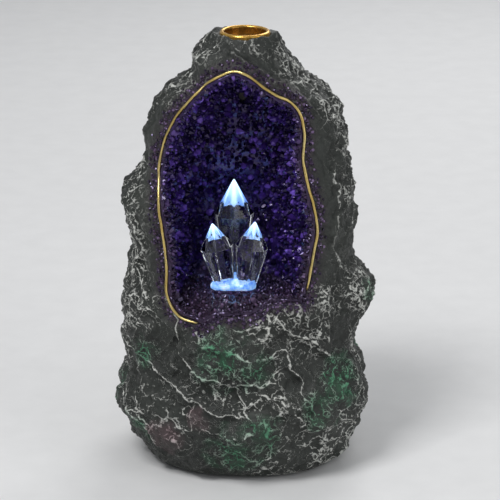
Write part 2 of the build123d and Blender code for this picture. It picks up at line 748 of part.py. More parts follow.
# Battery door with barrel, stub pins and screw ear
battery_door = block(
    0,
    (hinge_y + door_front_y) / 2,
    FOOT_HEIGHT,
    2 * door_half_x,
    window_length,
    DOOR_THICKNESS,
)
battery_door += rod(0, ear_y, FOOT_HEIGHT, EAR_RADIUS, DOOR_THICKNESS)
battery_door += block(0, (ear_y + door_front_y) / 2, FOOT_HEIGHT, 2 * EAR_RADIUS, EAR_REACH, DOOR_THICKNESS)
battery_door += rod_x(-door_half_x, hinge_y, hinge_z, BARREL_RADIUS, 2 * door_half_x)
pin_half = door_half_x + HINGE_PIN_LENGTH
battery_door += rod_x(-pin_half, hinge_y, hinge_z, HINGE_PIN_RADIUS, 2 * pin_half)
battery_door -= rod(0, ear_y, FOOT_HEIGHT, DOOR_HEAD_RADIUS + SEAT_GAP, DOOR_HEAD_HEIGHT)
battery_door -= rod(0, ear_y, FOOT_HEIGHT, DOOR_SCREW_RADIUS + SCREW_GAP, DOOR_THICKNESS)
battery_door_screw = rod(0, ear_y, FOOT_HEIGHT, DOOR_HEAD_RADIUS, DOOR_HEAD_HEIGHT)
battery_door_screw += rod(0, ear_y, FOOT_HEIGHT + DOOR_HEAD_HEIGHT, DOOR_SCREW_RADIUS, DOOR_SCREW_LENGTH)


def contact_tab(side, y):
    """Strip from a contact through the tray's end wall and up its outside, for a wire."""
    inner_x = bay_length / 2
    outer_x = tray_end_x + CONTACT_THICKNESS
    middle_x = side * (inner_x + outer_x) / 2
    tab_bottom = cell_z - TAB_WIDTH / 2
    through = block(middle_x, y, tab_bottom, outer_x - inner_x, TAB_WIDTH, CONTACT_THICKNESS)
    upright = block(side * tab_x, y, tab_bottom, CONTACT_THICKNESS, TAB_WIDTH, tab_top - tab_bottom)
    return through + upright


def positive_plate(side, y):
    """Flat contact on the end wall that a cell's nub touches."""
    x = side * (bay_length - CONTACT_THICKNESS) / 2
    return block(x, y, cell_z - CONTACT_HEIGHT / 2, CONTACT_THICKNESS, CONTACT_WIDTH, CONTACT_HEIGHT)


def negative_spring(side, y):
    """Folded leaf on the end wall that presses on a cell's flat end."""
    wide = CONTACT_HEIGHT / 2
    narrow = SPRING_PAD / 2
    wall_x = bay_length / 2
    tip_x = wall_x - SPRING_REACH
    outline = Polyline((wall_x, -wide), (wall_x, wide), (tip_x, narrow), (tip_x, -narrow), close=True)
    leaf = make_face(outline)
    leaf -= offset(leaf, -CONTACT_THICKNESS, kind=Kind.INTERSECTION)
    strip = extrude(Plane.XZ * leaf, CONTACT_WIDTH / 2, both=True)
    turned = strip if side > 0 else mirror(strip, Plane.YZ)
    return Pos(0, y, cell_z) * turned


def cell(side, y):
    """AAA cell with its nub towards the given side."""
    plate_x = bay_length / 2 - CONTACT_THICKNESS
    body = rod_x(plate_x - NUB_LENGTH - CELL_LENGTH, y, cell_z, CELL_RADIUS, CELL_LENGTH)
    body += rod_x(plate_x - NUB_LENGTH, y, cell_z, NUB_RADIUS, NUB_LENGTH)
    return body if side > 0 else mirror(body, Plane.YZ)


# Cells in series, every other one turned round, with a contact at each end
cell_sides = {"cell_left": (1, -CELL_PITCH), "cell_middle": (-1, 0.0), "cell_right": (1, CELL_PITCH)}
cells = {name: cell(side, y) for name, (side, y) in cell_sides.items()}
cell_plates = [positive_plate(side, y) for side, y in cell_sides.values()]
cell_springs = [negative_spring(-side, y) for side, y in cell_sides.values()]
plus_tab = contact_tab(1, CELL_PITCH)
minus_tab = contact_tab(-1, -CELL_PITCH)
cell_plates[2] += plus_tab
cell_springs[0] += minus_tab
base_cover = base_cover - plus_tab - minus_tab

# Slide switch: body behind the bezel, slider with a ribbed knob, here pushed to the on end
slider_x = SLIDER_TRAVEL / 2
slot_length = SLIDER_FOOT_LENGTH + SLIDER_TRAVEL + 2 * MOVING_GAP
knob_slot = KNOB_LENGTH + SLIDER_TRAVEL + 2 * MOVING_GAP
switch_bottom = SWITCH_Z - SWITCH_HEIGHT / 2
switch_body = block(0, POCKET_Y - SWITCH_DEPTH / 2, switch_bottom, SWITCH_LENGTH, SWITCH_DEPTH, SWITCH_HEIGHT)
foot_room = SLIDER_FOOT_DEPTH + MOVING_GAP
switch_body -= block(
    0,
    POCKET_Y - foot_room / 2,
    SWITCH_Z - SLIDER_FOOT_HEIGHT / 2 - MOVING_GAP,
    slot_length,
    foot_room,
    SLIDER_FOOT_HEIGHT + 2 * MOVING_GAP,
)
for x in (-TERMINAL_X, TERMINAL_X):
    switch_body += block(
        x,
        switch_front_y - TERMINAL_LENGTH / 2,
        SWITCH_Z - TERMINAL_WIDTH / 2,
        TERMINAL_THICKNESS,
        TERMINAL_LENGTH,
        TERMINAL_WIDTH,
    )
bezel_plate = extrude(RectangleRounded(BEZEL_LENGTH, BEZEL_HEIGHT, BEZEL_CORNER), BEZEL_THICKNESS)
switch_bezel = Pos(0, POCKET_Y, SWITCH_Z) * Rot(-90, 0, 0) * bezel_plate
switch_bezel -= block(
    0,
    POCKET_Y + BEZEL_THICKNESS / 2,
    SWITCH_Z - KNOB_HEIGHT / 2 - MOVING_GAP,
    knob_slot,
    BEZEL_THICKNESS,
    KNOB_HEIGHT + 2 * MOVING_GAP,
)
slider_back = POCKET_Y - SEAT_GAP
switch_slider = block(
    slider_x,
    slider_back - SLIDER_FOOT_DEPTH / 2,
    SWITCH_Z - SLIDER_FOOT_HEIGHT / 2,
    SLIDER_FOOT_LENGTH,
    SLIDER_FOOT_DEPTH,
    SLIDER_FOOT_HEIGHT,
)
knob_reach = SEAT_GAP + BEZEL_THICKNESS + KNOB_PROUD
knob_bottom = SWITCH_Z - KNOB_HEIGHT / 2
knob_y = slider_back + knob_reach / 2
switch_slider += block(slider_x, knob_y, knob_bottom, KNOB_LENGTH, knob_reach, KNOB_HEIGHT)
for side in (-1, 0, 1):
    rib_x = slider_x + side * (KNOB_LENGTH - KNOB_RIB) / 2
    rib_y = bezel_back_y + KNOB_PROUD + KNOB_RIB / 2
    switch_slider += block(rib_x, rib_y, knob_bottom, KNOB_RIB, KNOB_RIB, KNOB_HEIGHT)
bezel_screws = []
for x in (-BEZEL_SCREW_X, BEZEL_SCREW_X):
    sink = bezel_back_y - BEZEL_HEAD_HEIGHT
    switch_bezel -= rod_y(x, sink, SWITCH_Z, BEZEL_HEAD_RADIUS + SEAT_GAP, BEZEL_HEAD_HEIGHT)
    switch_bezel -= rod_y(x, POCKET_Y, SWITCH_Z, BEZEL_SCREW_RADIUS + SCREW_GAP, BEZEL_THICKNESS)
    shank_length = BEZEL_SCREW_BITE + BEZEL_THICKNESS - BEZEL_HEAD_HEIGHT
    shank = rod_y(x, POCKET_Y - BEZEL_SCREW_BITE, SWITCH_Z, BEZEL_SCREW_RADIUS, shank_length)
    bezel_screws.append(shank + rod_y(x, sink, SWITCH_Z, BEZEL_HEAD_RADIUS, BEZEL_HEAD_HEIGHT))


def wire(*points):
    """Round wire along straight runs with rounded corners."""
    path = FilletPolyline(*points, radius=WIRE_BEND)
    section = Plane(origin=path @ 0, z_dir=path % 0) * Circle(WIRE_RADIUS)
    return sweep(section, path)


# Wires: battery plus to switch, switch up to the lamp, lamp back down to battery minus
switch_turn_y = terminal_end_y - 2 * WIRE_BEND
wires = {
    "wire_battery_to_switch": wire(
        (tab_x, CELL_PITCH, tab_top),
        (tab_x, CELL_PITCH, SWITCH_Z),
        (TERMINAL_X, switch_turn_y, SWITCH_Z),
        (TERMINAL_X, terminal_end_y, SWITCH_Z),
    ),
    "wire_switch_to_led": wire(
        (-TERMINAL_X, terminal_end_y, SWITCH_Z),
        (-TERMINAL_X, switch_turn_y, SWITCH_Z),
        (SHAFT_X + LED_WIRE_X, SHAFT_Y + LED_WIRE_Y, led_board_z - 4 * WIRE_BEND),
        (SHAFT_X + LED_WIRE_X, SHAFT_Y + LED_WIRE_Y, led_board_z),
    ),
    "wire_led_to_battery": wire(
        (SHAFT_X - LED_WIRE_X, SHAFT_Y - LED_WIRE_Y, led_board_z),
        (SHAFT_X - LED_WIRE_X, SHAFT_Y - LED_WIRE_Y, led_board_z - 4 * WIRE_BEND),
        (-tab_x, -CELL_PITCH, tab_top + 3 * WIRE_BEND),
        (-tab_x, -CELL_PITCH, tab_top),
    ),
}

nodes = {
    "rock_base": rock_base,
    "rock_shelf": rock_shelf,
    "rock_grotto": rock_grotto,
    "rock_crown": rock_crown,
    "druse_lining": druse_lining,
    "gilt_bead": gilt_bead,
    "cone_dish": cone_dish,
    "crystal_base": crystal_base,
    "led_holder": led_holder,
    "led_board": led_board,
    "led_lamp": led_lamp,
    "led_holder_screws": Compound(led_holder_screws),
    "base_cover": base_cover,
    "base_screws": Compound(base_screws),
    "rubber_feet": Compound(rubber_feet),
    "battery_door": battery_door,
    "battery_door_screw": battery_door_screw,
    "cell_springs": Compound(cell_springs),
    "cell_plates": Compound(cell_plates),
    "switch_bezel": switch_bezel,
    "switch_body": switch_body,
    "switch_slider": switch_slider,
    "bezel_screws": Compound(bezel_screws),
    **{name: crystal(*sizes) for name, sizes in CRYSTALS.items()},
    **cells,
    **wires,
}
for name, shape in nodes.items():
    export_step(shape, f"parts/{name}.step")
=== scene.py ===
import math
import random

import bmesh
import bpy
import numpy as np
from mathutils import Matrix, Vector, noise
from mathutils.bvhtree import BVHTree
from mathutils.kdtree import KDTree


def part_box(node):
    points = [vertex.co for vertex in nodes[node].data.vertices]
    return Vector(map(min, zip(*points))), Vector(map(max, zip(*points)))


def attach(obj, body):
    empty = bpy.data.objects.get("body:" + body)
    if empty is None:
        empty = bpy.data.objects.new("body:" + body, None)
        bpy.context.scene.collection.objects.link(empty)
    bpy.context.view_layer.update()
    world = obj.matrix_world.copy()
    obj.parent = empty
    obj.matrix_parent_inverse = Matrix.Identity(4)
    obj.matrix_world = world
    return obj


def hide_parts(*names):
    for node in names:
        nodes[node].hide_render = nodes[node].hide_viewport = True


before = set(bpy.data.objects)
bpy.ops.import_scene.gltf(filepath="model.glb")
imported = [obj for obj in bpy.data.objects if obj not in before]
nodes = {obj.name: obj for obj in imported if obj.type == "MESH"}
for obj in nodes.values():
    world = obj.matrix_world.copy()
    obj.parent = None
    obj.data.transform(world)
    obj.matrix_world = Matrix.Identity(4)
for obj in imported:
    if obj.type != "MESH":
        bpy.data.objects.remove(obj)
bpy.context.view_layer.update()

scene = bpy.context.scene
MM = 0.001

# The noise and the random draws are seeded, so that each run gives the same rock
NOISE_SEED = 2
GROWTH_SEED = 7
noise.seed_set(NOISE_SEED)
grow = random.Random(GROWTH_SEED)

# Camera: 19 degrees above the horizon, a metre from a point half way up the rock
AIM = Vector((0.0, 0.0, 0.1))
DISTANCE = 1.0
ELEVATION = math.radians(19)
LENS = 156.5
SHIFT = (0.010, -0.0148)
camera_data = bpy.data.cameras.new("camera")
camera = bpy.data.objects.new("camera", camera_data)
scene.collection.objects.link(camera)
scene.camera = camera
camera.location = AIM + DISTANCE * Vector((0, -math.cos(ELEVATION), math.sin(ELEVATION)))
camera.rotation_euler = (math.pi / 2 - ELEVATION, 0, 0)
camera_data.sensor_width = 36.0
camera_data.lens = LENS
camera_data.shift_x, camera_data.shift_y = SHIFT
camera_data.clip_start = 0.01
camera_data.clip_end = 20.0


class Coat:
    """A node material in the making; where it takes a socket, it also takes a number or a colour."""

    def __init__(self, name):
        """A new material with its tree and its shader."""
        self.material = bpy.data.materials.new(name)
        self.material.use_nodes = True
        self.tree = self.material.node_tree
        self.shader = self.tree.nodes["Principled BSDF"]

    def add(self, kind, **settings):
        """A new node with its settings."""
        node = self.tree.nodes.new(kind)
        for name, value in settings.items():
            setattr(node, name, value)
        return node

    def feed(self, socket, value):
        """Gives an input a socket's output, a number or a colour."""
        if hasattr(value, "links"):
            self.tree.links.new(value, socket)
        elif isinstance(value, (int, float)):
            socket.default_value = value
        else:
            socket.default_value = (*value, 1)

    def set(self, name, value):
        """Feeds one of the shader's inputs."""
        self.feed(self.shader.inputs[name], value)

    def here(self):
        """Object coordinates in metres."""
        return self.add("ShaderNodeTexCoord").outputs["Object"]

    def axes(self):
        """The three object coordinates apart."""
        parts = self.add("ShaderNodeSeparateXYZ")
        self.feed(parts.inputs[0], self.here())
        return parts.outputs

    def stretched(self, stretch):
        """Object coordinates stretched along the axes."""
        mapping = self.add("ShaderNodeMapping")
        mapping.inputs["Scale"].default_value = stretch
        self.feed(mapping.inputs["Vector"], self.here())
        return mapping.outputs["Vector"]

    def noise_node(self, vector, scale, detail):
        """Noise texture over coordinates."""
        node = self.add("ShaderNodeTexNoise")
        self.feed(node.inputs["Vector"], vector)
        node.inputs["Scale"].default_value = scale
        node.inputs["Detail"].default_value = detail
        return node

    def noise(self, vector, scale, detail=4.0, rough=0.55):
        """Value of a noise texture, from 0 to 1."""
        node = self.noise_node(vector, scale, detail)
        node.inputs["Roughness"].default_value = rough
        return node.outputs["Fac"]

    def pushed(self, vector, scale, reach):
        """Coordinates pushed about by a noise, by up to the reach."""
        push = self.noise_node(vector, scale, 2)
        centred = self.add("ShaderNodeVectorMath", operation="SUBTRACT")
        self.feed(centred.inputs[0], push.outputs["Color"])
        centred.inputs[1].default_value = (0.5, 0.5, 0.5)
        moved = self.add("ShaderNodeVectorMath", operation="MULTIPLY_ADD")
        self.feed(moved.inputs[0], centred.outputs[0])
        moved.inputs[1].default_value = (2 * reach, 2 * reach, 2 * reach)
        self.feed(moved.inputs[2], vector)
        return moved.outputs[0]

    def ramp(self, value, *stops):
        """Ramp over a value; each stop is a place and a colour or a grey."""
        node = self.add("ShaderNodeValToRGB")
        elements = node.color_ramp.elements
        while len(elements) < len(stops):
            elements.new(0.5)
        for element, (place, colour) in zip(elements, stops):
            grey = isinstance(colour, (int, float))
            element.position = place
            element.color = (colour, colour, colour, 1) if grey else (*colour, 1)
        self.feed(node.inputs["Fac"], value)
        return node.outputs["Color"]

    def mix(self, factor, first, second, blend="MIX"):
        """Mix of two colours."""
        node = self.add("ShaderNodeMix", data_type="RGBA", blend_type=blend)
        for place, value in ((0, factor), (6, first), (7, second)):
            self.feed(node.inputs[place], value)
        return node.outputs[2]

    def sum(self, operation, *values, clamp=False):
        """Result of a math node."""
        node = self.add("ShaderNodeMath", operation=operation, use_clamp=clamp)
        for socket, value in zip(node.inputs, values):
            self.feed(socket, value)
        return node.outputs[0]

    def times(self, first, second, clamp=False):
        """Product of two values."""
        return self.sum("MULTIPLY", first, second, clamp=clamp)

    def minus(self, first, second):
        """Difference of two values."""
        return self.sum("SUBTRACT", first, second)

    def scaled(self, value, factor, offset, clamp=False):
        """A value times a factor, plus an offset."""
        return self.sum("MULTIPLY_ADD", value, factor, offset, clamp=clamp)

    def most(self, first, second):
        """Larger of two values."""
        return self.sum("MAXIMUM", first, second)

    def stored(self, name):
        """A value that the mesh stores for each vertex."""
        return self.add("ShaderNodeAttribute", attribute_name=name).outputs["Fac"]

    def bump(self, height, distance, strength=1.0):
        """Bump from a height; its distance is in metres."""
        node = self.add("ShaderNodeBump")
        node.inputs["Strength"].default_value = strength
        node.inputs["Distance"].default_value = distance
        self.feed(node.inputs["Height"], height)
        self.set("Normal", node.outputs["Normal"])


def mesh_object(name, mesh):
    """New object of a mesh, linked to the scene."""
    obj = bpy.data.objects.new(name, mesh)
    scene.collection.objects.link(obj)
    return obj


def copy_of(node, name):
    """New object with a copy of a solid's mesh and no material."""
    obj = mesh_object(name, nodes[node].data.copy())
    obj.data.materials.clear()
    return obj


def bm_object(name, bm, smooth=True):
    """New object of a bmesh."""
    mesh = bpy.data.meshes.new(name)
    bm.to_mesh(mesh)
    bm.free()
    if smooth:
        mesh.shade_smooth()
    return mesh_object(name, mesh)


def apply_modifiers(obj):
    """Replaces the object's mesh by its modified one."""
    depsgraph = bpy.context.evaluated_depsgraph_get()
    mesh = bpy.data.meshes.new_from_object(obj.evaluated_get(depsgraph))
    obj.modifiers.clear()
    obj.data = mesh


def add_boolean(obj, other, operation):
    """Joins another object to an object, or cuts it out."""
    boolean = obj.modifiers.new(other.name, "BOOLEAN")
    boolean.operation = operation
    boolean.solver = "EXACT"
    boolean.object = other
    return boolean


def make_even(obj, size):
    """Remeshes an object with faces of even size."""
    even = obj.modifiers.new("even", "REMESH")
    even.mode = "VOXEL"
    even.voxel_size = size
    apply_modifiers(obj)


def vectors(items, key):
    """One vector of each of a mesh's items, as an array."""
    flat = np.empty(len(items) * 3, dtype=np.float32)
    items.foreach_get(key, flat)
    return flat.reshape(-1, 3).astype(np.float64)


def places_of(mesh):
    """Vertex places as an array."""
    return vectors(mesh.vertices, "co")


def normals_of(mesh):
    """Vertex normals as an array."""
    return vectors(mesh.vertex_normals, "vector")


def write_places(mesh, new_places):
    """Moves a mesh's vertices."""
    mesh.vertices.foreach_set("co", new_places.astype(np.float32).ravel())
    mesh.update()


def store(mesh, name, values):
    """Keeps one number for each vertex."""
    layer = mesh.attributes.new(name, "FLOAT", "POINT")
    layer.data.foreach_set("value", np.asarray(values, dtype=np.float32))


def tree_of(mesh, keep=None):
    """Search tree of a mesh's faces, all of them or those kept."""
    faces = [tuple(f.vertices) for f in mesh.polygons if keep is None or keep[f.index]]
    return BVHTree.FromPolygons([v.co for v in mesh.vertices], faces)


def step(values, low, high):
    """Smooth step from 0 at low to 1 at high."""
    t = np.clip((values - low) / (high - low), 0, 1)
    return t * t * (3 - 2 * t)


def rise_over(value, start, run):
    """Straight rise from 0 at the start to 1 after the run."""
    return min(max((value - start) / run, 0), 1)


def rough(point, octaves=2, fade=0.9):
    """Fractal noise at a point, about -1 to 1."""
    return noise.fractal(point, fade, 2.0, octaves)


# Rock: the castings joined, remeshed evenly, smoothed and given wrinkles, veins and grain
ROCK_NODES = ("rock_base", "rock_shelf", "rock_grotto", "rock_crown")
VOXEL = 0.95 * MM
SNAP_REACH = 1.3 * MM
SKIN_REACH = 1.0 * MM
FADE = (0.5 * MM, 4.0 * MM)
SMOOTHING_ROUNDS = 10
SMOOTHING_SHARE = 0.5

# What tells faces that were cut into the stone from its skin: the foot's level and the switch's pocket
FOOT_LEVEL = 1.6 * MM
POCKET_HALF_WIDTH = 15.1 * MM
POCKET_LEVEL = 27.0 * MM
POCKET_HALF_HEIGHT = 8.1 * MM
POCKET_FRONT = 40 * MM
TOUCHING = 0.06 * MM
RAY_START = 0.3 * MM
FACING_IN = 0.3


def joined_castings():
    """The castings as one closed mesh."""
    base = mesh_object("rock", nodes[ROCK_NODES[0]].data.copy())
    for name in ROCK_NODES[1:]:
        add_boolean(base, nodes[name], "UNION")
    apply_modifiers(base)
    base.data.materials.clear()
    return base


def in_pocket(place, normal):
    """Whether a face is the floor or a wall of the switch's pocket."""
    inside = abs(place.x) < POCKET_HALF_WIDTH and abs(place.z - POCKET_LEVEL) < POCKET_HALF_HEIGHT
    return inside and place.y > POCKET_FRONT and (normal.y > 0.999 or abs(normal.y) < 0.01)


def cut_faces(mesh, lining):
    """For each face of the castings, whether it was cut into the stone rather than left as its skin."""
    whole = tree_of(mesh)
    cut = []
    for face in mesh.polygons:
        place, normal = face.center, face.normal
        flat_foot = place.z < FOOT_LEVEL and normal.z < -0.9
        by_lining = lining.find_nearest(place, TOUCHING)[0] is not None
        outward = Vector((place.x, place.y, 0)).normalized()
        buried = whole.ray_cast(place + normal * RAY_START, outward)[0] is not None
        hollow = buried and normal.dot(outward) < FACING_IN
        cut.append(flat_foot or by_lining or in_pocket(place, normal) or hollow)
    return cut


def neighbour_mean(values, edges, count):
    """Mean of each vertex's neighbours."""
    total = np.zeros_like(values)
    np.add.at(total, edges[:, 0], values[edges[:, 1]])
    np.add.at(total, edges[:, 1], values[edges[:, 0]])
    return total / count


rock = joined_castings()
lining_tree = tree_of(nodes["druse_lining"].data)
castings = rock.data
is_cut = cut_faces(castings, lining_tree)
castings_tree = tree_of(castings)
cut_tree = tree_of(castings, is_cut)
skin_tree = tree_of(castings, [not c for c in is_cut])

make_even(rock, VOXEL)
places = places_of(rock.data)
edges = np.empty(len(rock.data.edges) * 2, dtype=np.int32)
rock.data.edges.foreach_get("vertices", edges)
edges = edges.reshape(-1, 2)
count = np.bincount(edges.ravel(), minlength=len(places))[:, None].astype(float)
from_cut = np.array([cut_tree.find_nearest(p)[3] for p in places])
for i in np.nonzero(from_cut < SNAP_REACH)[0]:
    places[i] = castings_tree.find_nearest(places[i])[0]
skin = np.array([skin_tree.find_nearest(p)[3] for p in places]) < SKIN_REACH
free = step(from_cut, *FADE) * skin
for _ in range(SMOOTHING_ROUNDS):
    places += SMOOTHING_SHARE * free[:, None] * (neighbour_mean(places, edges, count) - places)
write_places(rock.data, places)
outward = normals_of(rock.data)

# Raised veins on the front, as x and z in millimetres, their height and how unbroken their paint is
VEINS = [
    ([(-31, 79), (-30, 72), (-29, 66), (-26, 61), (-22, 55), (-12, 52), (-1, 49), (4, 51)], 1.5, 1.0),
    ([(-55, 62), (-46, 57), (-37, 51), (-30, 46), (-22, 41), (-12, 37), (-2, 35)], 1.3, 0.6),
    ([(10, 61), (14, 66), (17, 65), (21, 57), (26, 50), (25, 44), (29, 40), (32, 34)], 1.3, 0.5),
    ([(14, 80), (20, 72), (31, 67), (38, 58), (44, 55)], 1.3, 0.0),
    ([(-24, 76), (-20, 68), (-8, 66), (2, 61), (12, 63)], 1.2, 0.0),
    ([(-52, 30), (-45, 24), (-38, 14)], 1.2, 0.4),
    ([(8, 45), (20, 40), (26, 30), (38, 28)], 1.2, 0.0),
    ([(-20, 30), (-8, 26), (4, 29), (12, 22)], 1.1, 0.0),
    ([(-50, 118), (-46, 106), (-49, 92), (-44, 84)], 1.2, 0.0),
    ([(40, 140), (43, 122), (38, 108), (44, 96)], 1.1, 0.0),
    ([(-40, 168), (-36, 176), (-26, 184), (-16, 192)], 1.0, 0.0),
    ([(-6, 193), (4, 189), (14, 182), (24, 175), (33, 166)], 1.4, 0.0),
]
VEIN_WIDTH = 1.1
VEIN_REACH = 4.0
VEIN_SWAY = 2.0
SWAY_LENGTH = 5.0
SWAY_SEEDS = (3.1, 9.7)


def nearest_vein(x, z):
    """Signed distance from the nearest vein, its height there and its boldness, in the front view."""
    sway = [VEIN_SWAY * noise.noise((x / SWAY_LENGTH, z / SWAY_LENGTH, seed)) for seed in SWAY_SEEDS]
    x, z = x + sway[0], z + sway[1]
    nearest, rise_there, bold_there = VEIN_REACH, 0.0, 0.0
    for line, rise, bold in VEINS:
        for (x0, z0), (x1, z1) in zip(line, line[1:]):
            along = (x - x0) * (x1 - x0) + (z - z0) * (z1 - z0)
            t = min(max(along / ((x1 - x0) ** 2 + (z1 - z0) ** 2), 0), 1)
            far = math.hypot(x - x0 - t * (x1 - x0), z - z0 - t * (z1 - z0))
            if far < abs(nearest):
                side = (x - x0) * (z1 - z0) - (z - z0) * (x1 - x0)
                nearest, rise_there, bold_there = math.copysign(far, side), rise, bold
    return nearest, rise_there * math.exp(-((nearest / VEIN_WIDTH) ** 2)), bold_there


# Winding wrinkles of the skin, coarse to fine: how far apart they lie and their height, in millimetres
WRINKLES = {"fold": (13.0, 1.0), "crinkle": (6.5, 0.6), "crease": (3.6, 0.4)}
WINDING = 0.3
WINDING_LENGTH = 0.55
CREST_SHARPNESS = 2.2
CREST_MEAN = 0.35
FLATTEST = 0.05
SHORTEST_RUN = 0.05


def wrinkle(point, apart, seed):
    """Value that passes zero along the wrinkles' crests."""
    q = point + WINDING * apart * noise.noise_vector(point / (WINDING_LENGTH * apart))
    return rough(q / apart + Vector((seed, 0, 0)))


def crest_distance(values):
    """Distance of every vertex from the nearest crest, in millimetres, from the values' slope."""
    run = np.linalg.norm(places[edges[:, 0]] - places[edges[:, 1]], axis=1) / MM
    slope = np.abs(values[edges[:, 0]] - values[edges[:, 1]]) / np.maximum(run, SHORTEST_RUN)
    steepest = np.full(len(values), FLATTEST)
    np.maximum.at(steepest, edges[:, 0], slope)
    np.maximum.at(steepest, edges[:, 1], slope)
    return values / neighbour_mean(steepest[:, None], edges, count)[:, 0]


# Skin over the boulders of the solid: heights or reaches and how far apart, in millimetres
WARPS = ((3.0, 13), (1.3, 4.5))
SWELL = (0.6, 21)
CREASE = (0.8, 11)
CREASE_SHARPNESS = 2.6
GRAIN = (0.22, 1.9)


def relief(point):
    """Height of the rock's skin over the solid, without veins and wrinkles, in millimetres."""
    q = point.copy()
    for reach, apart in WARPS:
        q += reach * noise.noise_vector(point / apart)
    swell = SWELL[0] * rough(q / SWELL[1], fade=1.0)
    near = noise.voronoi(q / CREASE[1])[0]
    crease = -CREASE[0] * max(0.0, 1 - CREASE_SHARPNESS * (near[1] - near[0])) ** 2
    grain = GRAIN[0] * rough(point / GRAIN[1])
    return swell + crease + grain


# Fullness of the rock's left side over the solid: level and extra, in millimetres
LEFT_FULLNESS = [
    (24, 0.0), (30, 1.2), (54, 0.3), (62, 1.3), (76, 1.0),
    (86, 0.0), (105, 0.4), (117, 1.5), (132, 0.0), (140, 0.3),
    (148, 1.7), (175, 1.6), (181, 0.0), (188, 1.8), (198, 0.6),
]
TOWARDS_LEFT = (0.25, 0.75)

# Bands along the cave mouth: crystal grains run out over the stone, and the stone round them is smooth
BAND = (1.5 * MM, 7.5 * MM)
CALM = (6 * MM, 13 * MM)
CALM_LEVELS = (84 * MM, 98 * MM)
CALM_SHARE = 0.6
mouth_edge = np.array([lining_tree.find_nearest(p)[3] for p in places])
band = 1 - step(mouth_edge, *BAND)
calm = (1 - step(mouth_edge, *CALM)) * step(places[:, 2], *CALM_LEVELS)

levels, extras = zip(*LEFT_FULLNESS)
height = np.interp(places[:, 2] / MM, levels, extras) * step(-outward[:, 0], *TOWARDS_LEFT)
loose = np.nonzero(free > 0.001)[0]
from_vein = np.full(len(places), VEIN_REACH)
bold = np.zeros(len(places))
for i in loose:
    point = Vector(places[i]) / MM
    height[i] += relief(point)
    if outward[i, 1] < 0.1 and point.y < 0:
        from_vein[i], vein, bold[i] = nearest_vein(point.x, point.z)
        height[i] += vein
crests = {"vein": from_vein}
for seed, (name, (apart, rise)) in enumerate(WRINKLES.items()):
    values = np.full(len(places), 1.0)
    for i in loose:
        values[i] = wrinkle(Vector(places[i]) / MM, apart, 10 * seed)
    crest = np.clip(1 - CREST_SHARPNESS * np.abs(values), 0, 1) ** 2 - CREST_MEAN
    height += rise * (1 - CALM_SHARE * calm) * crest
    crests[name] = crest_distance(values)
shaped = places + outward * (height * free * MM)[:, None]

# Rough rim of stone before and beside the cone dish: distance from its middle, width and rise in millimetres
RIM_RADIUS = 14.2
RIM_WIDTH = 1.9
RIM_RISE = 3.8
RIM_LEVELS = (182 * MM, 188 * MM)
RIM_BACK = (-6 * MM, 4 * MM)
RIM_WAVER = 0.35
WAVER_LENGTH = 5 * MM
from_dish = np.hypot(places[:, 0], places[:, 1]) / MM
rim = RIM_RISE * np.exp(-(((from_dish - RIM_RADIUS) / RIM_WIDTH) ** 2)) * step(places[:, 2], *RIM_LEVELS)
rim *= step(-places[:, 1], *RIM_BACK)
for i in np.nonzero(rim > 0.01)[0]:
    rim[i] *= 1 + RIM_WAVER * noise.noise(Vector(places[i]) / WAVER_LENGTH)
shaped[:, 2] += rim * free * MM
write_places(rock.data, shaped)
outward = normals_of(rock.data)

# How far each vertex stands out from its neighbours, slightly blurred; it places dry-brushed paint on crests
# and painted shade in sunken spots
BULGE_BLUR = 0.25
bulge = ((shaped - neighbour_mean(shaped, edges, count)) * outward).sum(1) / VOXEL
bulge = (1 - BULGE_BLUR) * bulge + BULGE_BLUR * neighbour_mean(bulge[:, None], edges, count)[:, 0]

# Paint patches on the rock: x, y, z in millimetres and reach
MOSS = [
    (-11, -52, 62, 13), (2, -52, 58, 9), (-5, -50, 18, 13), (8, -50, 26, 9),
    (-55, -8, 32, 8), (-46, -30, 22, 8), (-45, -32, 60, 7), (42, -36, 46, 12),
    (34, -42, 36, 9), (54, -14, 80, 6), (48, 20, 40, 13), (20, 48, 60, 13),
    (-30, 42, 30, 14), (-50, 18, 70, 9), (8, 50, 20, 11), (30, 36, 110, 9),
]
MAUVE = [(-35, -40, 21, 8), (-20, -48, 33, 5), (40, 28, 22, 9), (-40, 30, 90, 8)]
PALE = [
    (21, -8, 186, 10), (-31, -10, 178, 10), (-50, -8, 109, 9), (-50, -20, 74, 11),
    (23, -46, 83, 11), (10, -48, 78, 9), (53, -18, 86, 12), (46, -10, 130, 9),
    (41, -8, 163, 9), (44, -8, 147, 8), (47, -8, 112, 6), (30, -44, 68, 9),
    (36, -40, 84, 10), (-18, -46, 70, 6), (10, 40, 150, 13), (-35, 28, 140, 12),
    (40, 20, 90, 12), (-20, 46, 80, 12), (25, 44, 35, 10),
]
PATCH_CORE = 1.35
PATCH_RAGGED = 0.7
PATCH_GRAIN = 7 * MM
CREST_REACH = 5


def patches(spots, seed):
    """Strength of ragged paint patches at every vertex, from 0 to 1."""
    strength = np.zeros(len(places))
    for x, y, z, reach in spots:
        far = np.linalg.norm(places / MM - (x, y, z), axis=1) / reach
        strength = np.maximum(strength, np.clip(PATCH_CORE - far, 0, 1))
    for i in np.nonzero(strength > 0)[0]:
        ragged = rough(Vector(places[i]) / PATCH_GRAIN + Vector((seed, 0, 0)), 3)
        strength[i] = min(max(strength[i] + PATCH_RAGGED * ragged, 0), 1)
    return strength


for name, values in (("bulge", bulge), ("band", band), ("calm", calm), ("bold", bold)):
    store(rock.data, name, values)
for name, far in crests.items():
    store(rock.data, name, np.clip(far, -CREST_REACH, CREST_REACH))
for name, spots, seed in (("moss", MOSS, 5), ("mauve", MAUVE, 17), ("pale", PALE, 29)):
    store(rock.data, name, patches(spots, seed))

